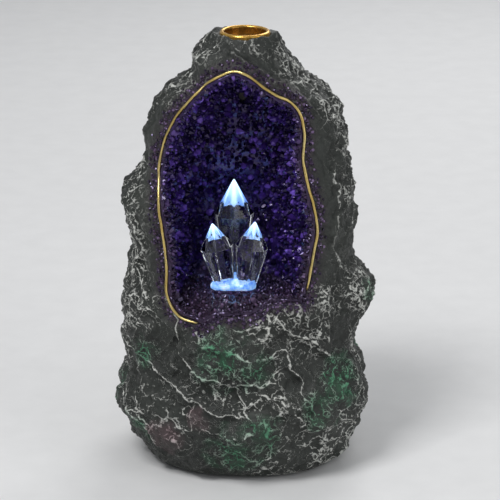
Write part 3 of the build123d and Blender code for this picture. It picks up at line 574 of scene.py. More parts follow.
# Fewer faces where the stone is hidden
HIDDEN_RATIO = 0.6
hidden = rock.vertex_groups.new(name="hidden")
hidden.add([int(i) for i in np.nonzero(~skin)[0]], 1.0, "REPLACE")
fewer = rock.modifiers.new("fewer", "DECIMATE")
fewer.vertex_group = "hidden"
fewer.ratio = HIDDEN_RATIO
apply_modifiers(rock)
rock.vertex_groups.clear()
rock.data.shade_smooth()


def crest_lines(coat, name, width, share, waver):
    """Brushed lines along a kind of wrinkle, from 0 to 1; the share thins them, the waver crinkles them."""
    away = coat.sum("ABSOLUTE", coat.sum("ADD", coat.stored(name), waver))
    reach = coat.scaled(share, width, 0.001)
    return coat.scaled(coat.sum("DIVIDE", away, reach), -1.6, 1.6, clamp=True)


def rock_paint():
    """Charcoal stone with pale dry-brushed crinkles, moss and mauve tints, painted shade in its sunken
    creases, and a grainy band at the mouth.
    """
    coat = Coat("rock_paint")
    here = coat.here()
    times, most = coat.times, coat.most
    moss = coat.stored("moss")
    mauve = coat.stored("mauve")
    bold = coat.stored("bold")
    bulge = coat.stored("bulge")

    pale = most(coat.stored("pale"), times(moss, 0.7))
    patchy = coat.ramp(coat.noise(here, 32, 3.0, 0.6), (0.47, 0.08), (0.63, 1.0))
    thick = most(patchy, pale)
    gaps = coat.ramp(coat.noise(here, 320, 5.0, 0.7), (0.41, 0.0), (0.55, 1.0))
    waver = times(coat.minus(coat.noise(here, 380, 5.0, 0.7), 0.5), 4.0)
    on_veins = most(times(gaps, coat.scaled(thick, 0.35, 0.65)), times(bold, 0.5))
    veins = crest_lines(coat, "vein", 0.75, on_veins, times(waver, coat.scaled(bold, -0.45, 1.0)))
    folds = crest_lines(coat, "fold", 0.7, times(gaps, thick), waver)
    crinkles = crest_lines(coat, "crinkle", 0.55, times(gaps, most(times(patchy, 0.8), pale)), waver)
    creases = times(crest_lines(coat, "crease", 0.45, times(gaps, pale), waver), 0.8)
    sparse = coat.scaled(thick, 0.7, 0.1)
    flecks = times(coat.ramp(coat.noise(here, 620, 3.0, 0.6), (0.63, 0.0), (0.67, 1.0)), sparse)
    lines = most(most(most(folds, crinkles), most(creases, veins)), flecks)
    raised = times(times(times(coat.minus(bulge, 0.2), 7.0, clamp=True), gaps), sparse)
    smooth = times(coat.stored("calm"), coat.minus(1.0, coat.stored("pale")))
    brushed = times(most(lines, raised), coat.scaled(smooth, -0.85, 1.0))

    stain = coat.noise(here, 22, 5.0, 0.6)
    speck = coat.noise(here, 900, 2.0)
    dark, middling, light = (0.014, 0.016, 0.014), (0.027, 0.031, 0.027), (0.045, 0.05, 0.043)
    stone = coat.ramp(stain, (0.3, dark), (0.55, middling), (0.75, light))
    stone = coat.mix(0.35, stone, coat.ramp(speck, (0.35, 0.25), (0.65, 0.75)), "OVERLAY")
    # Painted shade: the stone is mixed towards near black where the skin sinks below its neighbours, in
    # creases and hollows
    hollow = times(coat.minus(-0.02, bulge), 3.0, clamp=True)
    stone = coat.mix(times(hollow, 0.6), stone, (0.012, 0.013, 0.012))
    strokes = coat.noise(coat.pushed(here, 85, 6 * MM), 150, 5.0, 0.65)
    stroke = coat.ramp(strokes, (0.44, 0.0), (0.62, 0.85))
    stone = coat.mix(times(moss, stroke), stone, (0.02, 0.085, 0.042))
    stone = coat.mix(times(mauve, 0.5), stone, (0.12, 0.07, 0.08))
    brush_colour = coat.mix(moss, (0.66, 0.67, 0.63), (0.12, 0.34, 0.2))
    brush_colour = coat.mix(mauve, brush_colour, (0.46, 0.34, 0.36))
    colour = coat.mix(brushed, stone, brush_colour)

    dark, middling, light = (0.012, 0.008, 0.012), (0.035, 0.02, 0.032), (0.13, 0.075, 0.12)
    grains = coat.ramp(coat.noise(here, 1100, 2.0), (0.35, dark), (0.55, middling), (0.75, light))
    ragged = coat.ramp(coat.noise(here, 240, 4.0, 0.6), (0.35, 0.2), (0.6, 1.0))
    colour = coat.mix(times(times(coat.stored("band"), ragged), 0.8), colour, grains)
    coat.set("Base Color", colour)
    coat.set("Roughness", coat.mix(brushed, (0.5, 0.5, 0.5), (0.8, 0.8, 0.8)))
    coat.set("Specular IOR Level", 0.4)
    coat.bump(coat.scaled(lines, 0.5, times(coat.noise(here, 520, 4.0, 0.65), 0.8)), 0.8 * MM)
    return coat.material


rock.data.materials.append(rock_paint())
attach(rock, "rock")
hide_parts(*ROCK_NODES)

# Gilt bead's line: the mouth's outline in the front view, in millimetres, laid on the solid bead
MOUTH = [
    (27.5, 91.0), (30.0, 103.0), (32.0, 119.0), (29.0, 133.0), (25.5, 148.0),
    (26.0, 161.0), (22.0, 172.0), (11.0, 178.5), (4.5, 183.0), (-3.5, 187.0),
    (-12.0, 184.0), (-20.0, 178.0), (-31.0, 165.0), (-37.0, 150.0), (-38.5, 133.0),
    (-37.0, 117.0), (-35.0, 102.0), (-35.0, 88.0), (-30.0, 79.5), (-21.0, 77.0),
]
BEAD_STEPS = 8
BEAD_SUNK = 0.6 * MM
BEAD_FRONT = -30 * MM
BEFORE_ROCK = Vector((0, -0.2, 0))
BACKWARD = Vector((0, 1, 0))


def through(points, steps):
    """Open curve through points, each stretch in a number of steps."""
    ends = [2 * points[0] - points[1]] + points + [2 * points[-1] - points[-2]]
    path = []
    for before, start, end, after in zip(ends, ends[1:], ends[2:], ends[3:]):
        for k in range(steps):
            t = k / steps
            bend = 2 * before - 5 * start + 4 * end - after
            twist = 3 * start - before - 3 * end + after
            path.append(start + ((end - before) * t + bend * t**2 + twist * t**3) / 2)
    return path + [points[-1]]


def on_bead(path):
    """The path moved back onto the solid bead, or level with its nearest point."""
    tree = tree_of(nodes["gilt_bead"].data)
    laid = []
    for place in path:
        hit = tree.ray_cast(place + BEFORE_ROCK, BACKWARD)[0]
        if hit is None:
            hit = tree.find_nearest(Vector((place.x, BEAD_FRONT, place.z)))[0]
        laid.append(Vector((place.x, hit.y + BEAD_SUNK, place.z)))
    return laid


bead_line = on_bead(through([Vector((x, 0, z)) * MM for x, z in MOUTH], BEAD_STEPS))
bead_tree = KDTree(len(bead_line))
for i, place in enumerate(bead_line):
    bead_tree.insert(place, i)
bead_tree.balance()

# Glass crystals: foot x and y, lean in degrees, girdle and tip heights in millimetres, share that carries the
# painted glow
CRYSTALS = {
    "crystal_left": (-9.5, -15.0, -10.5, 17.7, 29.6, 0.58),
    "crystal_right": (0.7, -15.0, 7.5, 17.7, 30.2, 0.58),
    "crystal_rear": (-5.0, -1.5, 0.0, 29.0, 46.0, 0.74),
}

# Cave: a crust over the lining with grown crystal points
GROWN = 3600
TRIES_FOR_EACH = 4
POINT_ROOT = 0.5 * MM
POINT_SIDES = 6
POINT_RADIUS = 0.55
POINT_SPREAD = 1.25
SPREAD_POWER = 2.2
POINT_LENGTHS = (1.3, 2.5)
POINT_REACH = 1.25
POINT_LEAN = 0.33
POINT_TAPER = 0.93
SHOULDERS = (0.35, 0.7)
TIP_SHIFT = 0.35
LIP_SHARE = 0.45
FLAT_SHARE = 0.55
RIM_LENGTH = 0.7
LIP_FRONT = -25 * MM
LIP_TOP = 98 * MM
RIM_FRONT = -20 * MM
BEAD_CLEARANCE = 1.0 * MM
CRYSTAL_CLEARANCE = 0.4 * MM
PUDDLE_CLEARANCE = 0.1 * MM
LINING_BACK = 0.15 * MM
CAVE_DEPTHS = (-36 * MM, -12 * MM)
FLOOR_SHARE = 0.85
CROWD_CELL = 2.4 * MM
CROWDING = 0.62
GRAIN_REACH = 5.5 * MM
GRAIN_SHARE = 0.75


def lining_spots(mesh, wanted):
    """Random places on the lining's open side, with their normals."""
    faces = []
    for face in mesh.polygons:
        if castings_tree.find_nearest(face.center, LINING_BACK)[0] is None or face.normal.y < -0.9:
            faces.append(face)
    weights = [face.area for face in faces]
    spots = []
    for face in grow.choices(faces, weights, k=wanted):
        a, b, c = (mesh.vertices[i].co for i in face.vertices[:3])
        u, v = grow.random(), grow.random()
        if u + v > 1:
            u, v = 1 - u, 1 - v
        spots.append((a + u * (b - a) + v * (c - a), face.normal.copy()))
    return spots


def how_deep(y, on_floor):
    """0 at the cave's mouth, 1 on the walls further in, and little on the floor."""
    return step(np.asarray(y), *CAVE_DEPTHS) * (1 - FLOOR_SHARE * on_floor)


def six_sided(place, normal, radius, length):
    """Corners of a leaning six-sided crystal point: foot, shoulder and tip."""
    axis = (normal + Vector([grow.gauss(0, POINT_LEAN) for _ in range(3)])).normalized()
    turn = axis.to_track_quat("Z", "Y") @ Matrix.Rotation(grow.uniform(0, 1), 3, "Z").to_quaternion()
    shoulder = length * grow.uniform(*SHOULDERS)
    shift = [grow.uniform(-TIP_SHIFT, TIP_SHIFT) * radius for _ in range(2)]
    corners = []
    for level, wide in ((-POINT_ROOT, radius), (shoulder, POINT_TAPER * radius)):
        for k in range(POINT_SIDES):
            around = k * math.pi / 3
            corners.append(Vector((wide * math.cos(around), wide * math.sin(around), level)))
    corners.append(Vector((*shift, length)))
    return [place + turn @ corner for corner in corners]


def point_radius(place, normal):
    """Random radius of a point, small on the cave's floor, rim and lip."""
    radius = (POINT_RADIUS + POINT_SPREAD * grow.random() ** SPREAD_POWER) * MM
    if normal.y < -0.4 and place.y < LIP_FRONT and place.z < LIP_TOP:
        return radius * LIP_SHARE
    if is_floor(normal) or is_rim(place, normal):
        return radius * FLAT_SHARE
    return radius


def is_floor(normal):
    """Whether a place on the lining faces up."""
    return normal.z > 0.8


def is_rim(place, normal):
    """Whether a place on the lining faces out of the cave's mouth."""
    return normal.y < -0.9 and place.y < RIM_FRONT


def lining_points(mesh):
    """Points of many sizes grown out of the lining, each with its depth in the cave."""
    kept = {}
    points = []
    around = [(dx, dy, dz) for dx in (-1, 0, 1) for dy in (-1, 0, 1) for dz in (-1, 0, 1)]
    crystals = [tree_of(nodes[name].data) for name in CRYSTALS]
    puddle_solid = tree_of(nodes["crystal_base"].data)
    for place, normal in lining_spots(mesh, GROWN * TRIES_FOR_EACH):
        radius = point_radius(place, normal)
        reach = radius * POINT_REACH
        cell = tuple(int(v // CROWD_CELL) for v in place)
        near_cells = [(cell[0] + dx, cell[1] + dy, cell[2] + dz) for dx, dy, dz in around]
        crowd = [other for near in near_cells for other in kept.get(near, [])]
        if any((place - other).length < CROWDING * (reach + size) for other, size in crowd):
            continue
        if bead_tree.find(place)[2] < radius * 1.5 + BEAD_CLEARANCE:
            continue
        if any(tree.find_nearest(place, radius * 2.8 + CRYSTAL_CLEARANCE)[0] is not None for tree in crystals):
            continue
        if puddle_solid.find_nearest(place, radius * 1.1 + PUDDLE_CLEARANCE)[0] is not None:
            continue
        kept.setdefault(cell, []).append((place, reach))
        length = radius * grow.uniform(*POINT_LENGTHS) * (RIM_LENGTH if is_rim(place, normal) else 1.0)
        deep = float(how_deep(place.y, is_floor(normal)))
        points.append((six_sided(place, normal, radius, length), deep))
        if len(points) >= GROWN:
            break
    return points


def stone_grains():
    """Small points run out over the stone by the cave's mouth, fewer further away."""
    grains = []
    for i in np.nonzero(skin & (mouth_edge < GRAIN_REACH) & (outward[:, 1] < -0.1))[0]:
        radius = grow.uniform(0.3, 0.8) * MM
        place = Vector(shaped[i])
        sown = grow.random() < GRAIN_SHARE * (1 - mouth_edge[i] / GRAIN_REACH)
        if sown and bead_tree.find(place)[2] > radius + BEAD_CLEARANCE:
            length = radius * grow.uniform(0.6, 1.4)
            grains.append((six_sided(place, Vector(outward[i]), radius, length), 0.0))
    return grains


def points_mesh(name, points):
    """One mesh of six-sided points, each with a tone of its own."""
    vertices, faces, tones, deeps = [], [], [], []
    for corners, deep in points:
        foot = len(vertices)
        shoulder = foot + POINT_SIDES
        tip = shoulder + POINT_SIDES
        vertices.extend(corners)
        faces.append(list(range(foot, shoulder))[::-1])
        for k in range(POINT_SIDES):
            j = (k + 1) % POINT_SIDES
            faces.append((foot + k, foot + j, shoulder + j, shoulder + k))
            faces.append((shoulder + k, shoulder + j, tip))
        tones.extend([grow.random()] * len(corners))
        deeps.extend([deep] * len(corners))
    mesh = bpy.data.meshes.new(name)
    mesh.from_pydata(vertices, [], faces)
    store(mesh, "tone", tones)
    store(mesh, "deep", deeps)
    return mesh


def druse_glaze(name, tone_name=None):
    """Violet crystal glaze with blue and plum tones."""
    coat = Coat(name)
    here = coat.here()
    tone = coat.stored(tone_name) if tone_name else coat.noise(here, 300, 4.0, 0.6)
    violet = coat.ramp(
        tone,
        (0.0, (0.006, 0.004, 0.018)),
        (0.45, (0.014, 0.007, 0.045)),
        (0.72, (0.032, 0.015, 0.12)),
        (0.88, (0.075, 0.034, 0.26)),
        (1.0, (0.2, 0.11, 0.56)),
    )
    plum = coat.ramp(
        tone,
        (0.0, (0.01, 0.008, 0.011)),
        (0.5, (0.026, 0.017, 0.026)),
        (0.85, (0.06, 0.038, 0.062)),
        (1.0, (0.22, 0.16, 0.25)),
    )
    cloud = coat.ramp(coat.noise(here, 120, 3.0), (0.35, (0.3, 0.2, 0.32)), (0.65, (0.62, 0.6, 0.78)))
    colour = coat.mix(coat.stored("deep"), plum, violet)
    coat.set("Base Color", coat.mix(0.45, colour, cloud, "OVERLAY"))
    coat.set("Roughness", coat.ramp(coat.noise(here, 800, 2.0), (0.3, 0.08), (0.7, 0.3)))
    coat.set("Specular IOR Level", 0.6)
    coat.set("Specular Tint", (0.6, 0.48, 1.0))
    coat.set("Coat Weight", 0.25)
    coat.set("Coat Roughness", 0.06)
    coat.bump(coat.noise(here, 1500, 3.0, 0.6), 0.15 * MM, 0.5)
    return coat.material


# Crust: the lining remeshed and made lumpy
CRUST_VOXEL = 1.0 * MM
CRUST_EDGE = 0.9 * MM
CAVE_FLOOR = 95 * MM
crust = copy_of("druse_lining", "druse_crust")
make_even(crust, CRUST_VOXEL)
crust_places = places_of(crust.data)
crust_out = normals_of(crust.data)
for i, place in enumerate(crust_places):
    if castings_tree.find_nearest(place, CRUST_EDGE)[0] is None:
        q = Vector(place) / MM
        lump = 0.45 * rough(q / 2.6, fade=0.8) + 0.5 * noise.noise(q / 7)
        crust_places[i] = place + crust_out[i] * lump * MM
write_places(crust.data, crust_places)
crust_floor = step(crust_out[:, 2], 0.5, 0.9) * (crust_places[:, 2] < CAVE_FLOOR)
store(crust.data, "deep", how_deep(crust_places[:, 1], crust_floor))
crust.data.shade_smooth()
crust.data.materials.append(druse_glaze("druse_crust_glaze"))
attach(crust, "rock")
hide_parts("druse_lining")

druse = lining_points(nodes["druse_lining"].data) + stone_grains()
points = mesh_object("druse_points", points_mesh("druse_points", druse))
points.data.materials.append(druse_glaze("druse_glaze", "tone"))
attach(points, "rock")

# Gilt bead: a thin hand-laid line, thick and thin, tapering at its two ends
BEAD_SIDES = 12
BEAD_SWAY = 0.35
BEAD_SWAY_LENGTH = 6 * MM
BEAD_RADIUS = 0.58
BEAD_UNEVEN = 0.14
BEAD_UNEVEN_LENGTH = 5 * MM
TAPER_STEPS = 5
TAPER_TO = 0.4


def skin_rings(bm, rings):
    """Faces between rings of like vertices, closed at both ends."""
    for first, second in zip(rings, rings[1:]):
        for k in range(len(first)):
            j = (k + 1) % len(first)
            bm.faces.new((first[k], first[j], second[j], second[k]))
    bm.faces.new(rings[0][::-1])
    bm.faces.new(rings[-1])
    bmesh.ops.recalc_face_normals(bm, faces=bm.faces)


def tube(path, radius_at, sides):
    """Mesh of a closed tube along a path; radius_at gives the radius at each point."""
    bm = bmesh.new()
    rings = []
    for i, place in enumerate(path):
        along = (path[min(i + 1, len(path) - 1)] - path[max(i - 1, 0)]).normalized()
        side = along.cross(-BACKWARD).normalized()
        out = side.cross(along)
        radius = radius_at(i)
        ring = []
        for k in range(sides):
            around = 2 * math.pi * k / sides
            ring.append(bm.verts.new(place + radius * (math.cos(around) * side + math.sin(around) * out)))
        rings.append(ring)
    skin_rings(bm, rings)
    return bm


def bead_radius(i):
    """Radius of the bead at a point of its line."""
    taper = min(1.0, (min(i, len(bead_line) - 1 - i) + 1) / TAPER_STEPS)
    radius = BEAD_RADIUS + BEAD_UNEVEN * noise.noise(bead_line[i] / BEAD_UNEVEN_LENGTH)
    return radius * MM * (TAPER_TO + (1 - TAPER_TO) * taper)


def gold(name, low, high, roughness):
    """Gold paint or foil with worn, uneven tone; its colour is returned beside it."""
    coat = Coat(name)
    here = coat.here()
    colour = coat.ramp(coat.noise(here, 90, 5.0, 0.6), (0.3, low), (0.7, high))
    worn = coat.ramp(coat.noise(here, 500, 3.0), (0.3, roughness - 0.08), (0.7, roughness + 0.12))
    coat.set("Base Color", colour)
    coat.set("Metallic", 0.9)
    coat.set("Roughness", worn)
    coat.bump(coat.noise(here, 700, 3.0, 0.6), 0.12 * MM, 0.6)
    return coat, colour


for place in bead_line:
    sway = noise.noise_vector(place / BEAD_SWAY_LENGTH)
    place += Vector((sway.x, 0, sway.z)) * BEAD_SWAY * MM
bead = bm_object("gilt_line", tube(bead_line, bead_radius, BEAD_SIDES))
bead.data.materials.append(gold("gilt_paint", (0.52, 0.36, 0.09), (0.86, 0.7, 0.3), 0.3)[0].material)
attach(bead, "rock")
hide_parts("gilt_bead")

# Crystals: bevelled glass whose points carry a painted glow of the LED's light
PUCK_TOP = 85.7
CRYSTAL_SIDES = 8
LIT_PANELS = 6
TOOTH_HEIGHT = 2.6 * MM
LIT_RAGGED = 1.3 * MM
LIT_SOFTNESS = 0.9 * MM
CRYSTAL_BEVEL = 0.22 * MM
SHORTEST_BEVELLED = 0.5 * MM
WELD = 0.005 * MM


def crystal_glass(name, girdle, tip, lit_share):
    """Clear glass whose point carries a painted glow of the LED's light down to a toothed edge, in panels of
    deep and pale blue.
    """
    coat = Coat(name)
    here = coat.here()
    x, y, z = coat.axes()
    lit_height = (tip - girdle) * lit_share
    edge = (tip - lit_height) * MM
    turn = coat.sum("ARCTAN2", y, x)
    tooth = coat.sum("PINGPONG", coat.times(turn, CRYSTAL_SIDES / math.pi), 1.0)
    ragged = coat.times(coat.minus(coat.noise(here, 700, 2.0), 0.5), LIT_RAGGED)
    border = coat.sum("ADD", coat.scaled(tooth, TOOTH_HEIGHT, edge), ragged)
    lit = coat.times(coat.minus(z, border), 1 / LIT_SOFTNESS, clamp=True)
    swing = coat.sum("COSINE", coat.scaled(turn, LIT_PANELS, LIT_PANELS * math.pi / 2))
    facet_glow = coat.scaled(swing, 1.6, 0.5, clamp=True)
    up_tip = coat.times(coat.minus(z, edge), 1 / (lit_height * MM))
    deep = coat.ramp(up_tip, (0.0, (0.05, 0.18, 0.85)), (0.5, (0.16, 0.38, 1.0)), (1.0, (0.5, 0.74, 1.0)))
    pale = coat.ramp(up_tip, (0.0, (0.3, 0.55, 1.0)), (0.4, (0.6, 0.8, 1.0)), (1.0, (0.72, 0.88, 1.0)))
    coat.set("Base Color", (0.94, 0.97, 1.0))
    coat.set("Transmission Weight", 1.0)
    coat.set("IOR", 1.5)
    coat.set("Roughness", coat.mix(lit, (0.02, 0.02, 0.02), (0.45, 0.45, 0.45)))
    # Painted glow: emission in the point stands in for the LED's light caught in the glass, paler towards the
    # tip and deeper or paler blue by facet
    coat.set("Emission Color", coat.mix(facet_glow, deep, pale))
    coat.set("Emission Strength", coat.times(lit, 0.85))
    coat.bump(coat.noise(here, 260, 2.0), 0.1 * MM, 0.12)
    return coat.material


for name, (x, y, lean, girdle, tip, lit_share) in CRYSTALS.items():
    foot = Matrix.Translation(Vector((x, y, PUCK_TOP)) * MM) @ Matrix.Rotation(math.radians(lean), 4, "Y")
    bm = bmesh.new()
    bm.from_mesh(nodes[name].data)
    bm.transform(foot.inverted())
    bmesh.ops.remove_doubles(bm, verts=bm.verts, dist=WELD)
    bmesh.ops.dissolve_limit(bm, angle_limit=math.radians(1), verts=bm.verts, edges=bm.edges)
    bmesh.ops.bevel(
        bm,
        geom=[e for e in bm.edges if e.calc_length() > SHORTEST_BEVELLED],
        offset=CRYSTAL_BEVEL,
        segments=2,
        profile=0.5,
        affect="EDGES",
        clamp_overlap=True,
    )
    glass = bm_object(name + "_glass", bm, smooth=False)
    glass.matrix_world = foot
    glass.data.materials.append(crystal_glass(name + "_glass", girdle, tip, lit_share))
    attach(glass, "rock")
    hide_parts(name)

# Puddle of resin under the crystals with a painted glow of the LED's light, heaped up at places: x, y, rise
# and reach in millimetres
HEAPS = [(-4.4, -17.5, 2.4, 2.6), (4.0, -18.0, 1.5, 2.4), (-12.5, -17.5, 1.0, 2.8)]
PUDDLE_VOXEL = 0.45 * MM
PUDDLE_DRAWN_IN = 2.0
PUDDLE_UNDERCUT = 1.0

# Where the puddle's foot, top, right side and front begin and over how far they rise, in millimetres
PUDDLE_FOOT = (82.0, 0.6)
PUDDLE_TOP = (83.0, 1.5)
PUDDLE_RIGHT = (0, 6)
PUDDLE_FRONT = (15, 5)
STRIP_LEVELS = (82.2, 83.0)
STRIP_FRONT = 0.2
puddle = copy_of("crystal_base", "lit_puddle")
make_even(puddle, PUDDLE_VOXEL)
puddle_places = places_of(puddle.data)
puddle_out = normals_of(puddle.data)
strip = []
for i, place in enumerate(puddle_places):
    q = Vector(place) / MM
    above = rise_over(q.z, *PUDDLE_TOP)
    over_floor = rise_over(q.z, *PUDDLE_FOOT)
    right = rise_over(q.x, *PUDDLE_RIGHT)
    front = rise_over(-q.y, *PUDDLE_FRONT)
    lump = 0.4 + 0.5 * rough(q / 4.2) + 0.2 * noise.noise(q / 1.3)
    heap = 0
    for x, y, rise, reach in HEAPS:
        heap += rise * math.exp(-(((q.x - x) ** 2 + (q.y - y) ** 2) / reach**2))
    drawn_in = over_floor * Vector((-right * PUDDLE_DRAWN_IN, front * PUDDLE_DRAWN_IN, 0))
    drawn_in.z += over_floor * (1 - above) * front * PUDDLE_UNDERCUT
    swollen = above * (Vector(puddle_out[i]) * lump + Vector((0, 0, heap * max(puddle_out[i][2], 0))))
    if front > STRIP_FRONT and STRIP_LEVELS[0] < q.z < STRIP_LEVELS[1]:
        strip.append((q * MM, (q + PUDDLE_DRAWN_IN * Vector((0, front, 0))) * MM))
    puddle_places[i] = place + np.array(drawn_in + swollen) * MM
write_places(puddle.data, puddle_places)
puddle.data.shade_smooth()


def lit_resin():
    """Resin with a painted glow of the LED's light in clouds of deep and pale blue, set as both its colour and
    its emission.
    """
    coat = Coat("lit_resin")
    here = coat.here()
    deep, middling, pale = (0.06, 0.2, 0.8), (0.25, 0.5, 1.0), (0.7, 0.86, 1.0)
    colour = coat.ramp(coat.noise(here, 330, 4.0, 0.6), (0.3, deep), (0.5, middling), (0.7, pale))
    # Painted glow: the same blue clouds go into the base colour and the emission, standing in for the LED's
    # light in the resin
    coat.set("Base Color", colour)
    coat.set("Emission Color", colour)
    coat.set("Emission Strength", 0.7)
    coat.set("Roughness", 0.35)
    coat.bump(coat.noise(here, 900, 3.0), 0.2 * MM, 0.6)
    return coat.material


puddle.data.materials.append(lit_resin())
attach(puddle, "rock")
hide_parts("crystal_base")

# Small druse points on the strip of floor that the puddle leaves bare
STRIP_SHARE = 0.6
STRIP_DEEP = 0.3
STRIP_NORMAL = Vector((0, -0.3, 1))
strip_points = []
for outer, inner in strip:
    if grow.random() < STRIP_SHARE:
        radius = grow.uniform(0.3, 0.65) * MM
        place = outer.lerp(inner, grow.random())
        length = radius * grow.uniform(1.0, 2.2)
        strip_points.append((six_sided(place, STRIP_NORMAL, radius, length), STRIP_DEEP))
edging = mesh_object("druse_edging", points_mesh("druse_edging", strip_points))
edging.data.materials.append(points.data.materials[0])
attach(edging, "rock")

# Solids that stay get materials and, some of them, softly rounded edges
SOFT_ANGLE = math.radians(40)


def dress(mat, *names, edge=0.0):
    """Gives solids a material and, where an edge radius is set, rounded edges."""
    for name in names:
        nodes[name].material_slots[0].material = mat
        if edge:
            weld = nodes[name].modifiers.new("weld", "WELD")
            weld.merge_threshold = WELD
            soft = nodes[name].modifiers.new("soft", "BEVEL")
            soft.width = edge
            soft.segments = 2
            soft.limit_method = "ANGLE"
            soft.angle_limit = SOFT_ANGLE
            soft.harden_normals = True


def moulded(name, low, high, roughness, grain=0.06):
    """Moulded plastic or rubber: uneven tone, scuffs and a fine spark-eroded grain."""
    coat = Coat(name)
    here = coat.here()
    scratches = coat.noise(coat.pushed(here, 200, 4 * MM), 420, 5.0, 0.7)
    scuff = coat.ramp(scratches, (0.6, 0.0), (0.75, 0.35))
    scuff_colour = [min(1, 2.2 * c + 0.02) for c in high]
    tone = coat.ramp(coat.noise(here, 120, 5.0, 0.6), (0.3, low), (0.7, high))
    worn = coat.ramp(coat.noise(here, 700, 3.0), (0.3, roughness - 0.1), (0.7, roughness + 0.1))
    coat.set("Base Color", coat.mix(scuff, tone, scuff_colour))
    coat.set("Roughness", worn)
    coat.bump(coat.noise(here, 2600, 3.0, 0.6), grain * MM, 0.7)
    return coat.material


def plated(name, low, high, stretch):
    """Plated metal, brushed along the axis with the small stretch."""
    coat = Coat(name)
    brushed = coat.noise(coat.stretched(stretch), 2400, 4.0, 0.6)
    spots = coat.noise(coat.here(), 260, 4.0, 0.65)
    streaks = coat.ramp(brushed, (0.3, low), (0.7, high))
    coat.set("Base Color", coat.mix(0.5, streaks, coat.ramp(spots, (0.35, low), (0.6, high))))
    coat.set("Metallic", 1.0)
    coat.set("Roughness", coat.ramp(brushed, (0.3, 0.22), (0.7, 0.42)))
    coat.bump(brushed, 0.03 * MM, 0.5)
    return coat.material


def dish_gold():
    """Amber gold, browner inside the dish as painted shade, and with soot towards the smoke hole."""
    coat, colour = gold("dish_gold", (0.62, 0.32, 0.05), (0.9, 0.56, 0.14), 0.26)
    reach = 12 * MM
    x, y, _ = coat.axes()
    flat = coat.add("ShaderNodeCombineXYZ")
    coat.feed(flat.inputs["X"], x)
    coat.feed(flat.inputs["Y"], y)
    length = coat.add("ShaderNodeVectorMath", operation="LENGTH")
    coat.feed(length.inputs[0], flat.outputs[0])
    out = length.outputs["Value"]
    ragged = coat.scaled(coat.noise(coat.here(), 350, 4.0), 4 * MM, out)
    soot = coat.ramp(coat.times(ragged, 1 / reach), (0.3, 0.85), (0.62, 0.12), (0.9, 0.0))
    # Painted shade: the inside of the dish is mixed towards a dark brown
    inside = coat.ramp(coat.times(out, 1 / reach), (0.78, 0.6), (0.8, 0.0))
    shade_inside = coat.mix(inside, colour, (0.13, 0.05, 0.012))
    coat.set("Base Color", coat.mix(soot, shade_inside, (0.05, 0.03, 0.015)))
    return coat.material


def cell_jacket():
    """Cell sleeve in two tones with bare steel ends, split along X."""
    coat = Coat("cell_sleeve")
    here = coat.here()
    along = coat.scaled(coat.axes()["X"], 1 / (50 * MM), 0.5)
    shade = coat.noise(here, 160, 4.0)
    blue = coat.ramp(shade, (0.3, (0.015, 0.05, 0.16)), (0.7, (0.03, 0.09, 0.26)))
    copper = coat.ramp(shade, (0.3, (0.42, 0.2, 0.08)), (0.7, (0.6, 0.31, 0.13)))
    colour = coat.mix(coat.ramp(along, (0.3, 0.0), (0.302, 1.0)), copper, blue)
    steel_end = coat.ramp(along, (0.055, 1.0), (0.06, 0.0), (0.94, 0.0), (0.945, 1.0))
    coat.set("Base Color", coat.mix(steel_end, colour, (0.62, 0.62, 0.6)))
    coat.set("Metallic", steel_end)
    coat.set("Roughness", coat.ramp(coat.noise(here, 500, 3.0), (0.3, 0.18), (0.7, 0.36)))
    coat.bump(coat.noise(here, 900, 2.0), 0.03 * MM, 0.4)
    return coat.material


def circuit_board():
    """Green board with copper tracks under the lacquer."""
    coat = Coat("circuit_board")
    here = coat.here()
    track = coat.add("ShaderNodeTexVoronoi", feature="DISTANCE_TO_EDGE", distance="EUCLIDEAN")
    track.inputs["Scale"].default_value = 260
    coat.feed(track.inputs["Vector"], here)
    lines = coat.ramp(track.outputs["Distance"], (0.08, 1.0), (0.11, 0.0))
    shade = coat.ramp(coat.noise(here, 300, 3.0), (0.3, (0.012, 0.09, 0.03)), (0.7, (0.025, 0.14, 0.05)))
    coat.set("Base Color", coat.mix(lines, shade, (0.06, 0.22, 0.07)))
    coat.set("Roughness", coat.mix(lines, (0.4, 0.4, 0.4), (0.28, 0.28, 0.28)))
    coat.bump(lines, 0.05 * MM, 0.6)
    return coat.material


def lamp_epoxy():
    """Milky epoxy with an uneven blue-white glow."""
    coat = Coat("lamp_epoxy")
    here = coat.here()
    shade = coat.noise(here, 300, 3.0)
    glow = coat.ramp(shade, (0.3, (0.3, 0.55, 1.0)), (0.7, (0.55, 0.78, 1.0)))
    coat.set("Base Color", coat.ramp(shade, (0.3, (0.62, 0.78, 0.95)), (0.7, (0.8, 0.9, 1.0))))
    coat.set("Emission Color", glow)
    coat.set("Emission Strength", 0.6)
    coat.set("Roughness", 0.2)
    coat.bump(coat.noise(here, 900, 2.0), 0.03 * MM, 0.3)
    return coat.material


black_plastic = moulded("black_plastic", (0.012, 0.012, 0.013), (0.022, 0.022, 0.024), 0.5)
white_plastic = moulded("white_plastic", (0.55, 0.55, 0.52), (0.66, 0.66, 0.63), 0.42, 0.03)
rubber = moulded("rubber", (0.014, 0.014, 0.014), (0.028, 0.028, 0.027), 0.75, 0.1)
red_sleeve = moulded("red_sleeve", (0.3, 0.012, 0.012), (0.44, 0.02, 0.018), 0.38, 0.02)
black_sleeve = moulded("black_sleeve", (0.01, 0.01, 0.011), (0.02, 0.02, 0.021), 0.38, 0.02)
zinc = plated("zinc", (0.42, 0.43, 0.44), (0.66, 0.66, 0.65), (1, 0.12, 1))
nickel = plated("nickel", (0.5, 0.49, 0.46), (0.75, 0.74, 0.7), (1, 1, 0.1))
dress(dish_gold(), "cone_dish")
dress(black_plastic, "base_cover", "battery_door", "switch_bezel", "switch_body", edge=0.2 * MM)
dress(white_plastic, "switch_slider", edge=0.12 * MM)
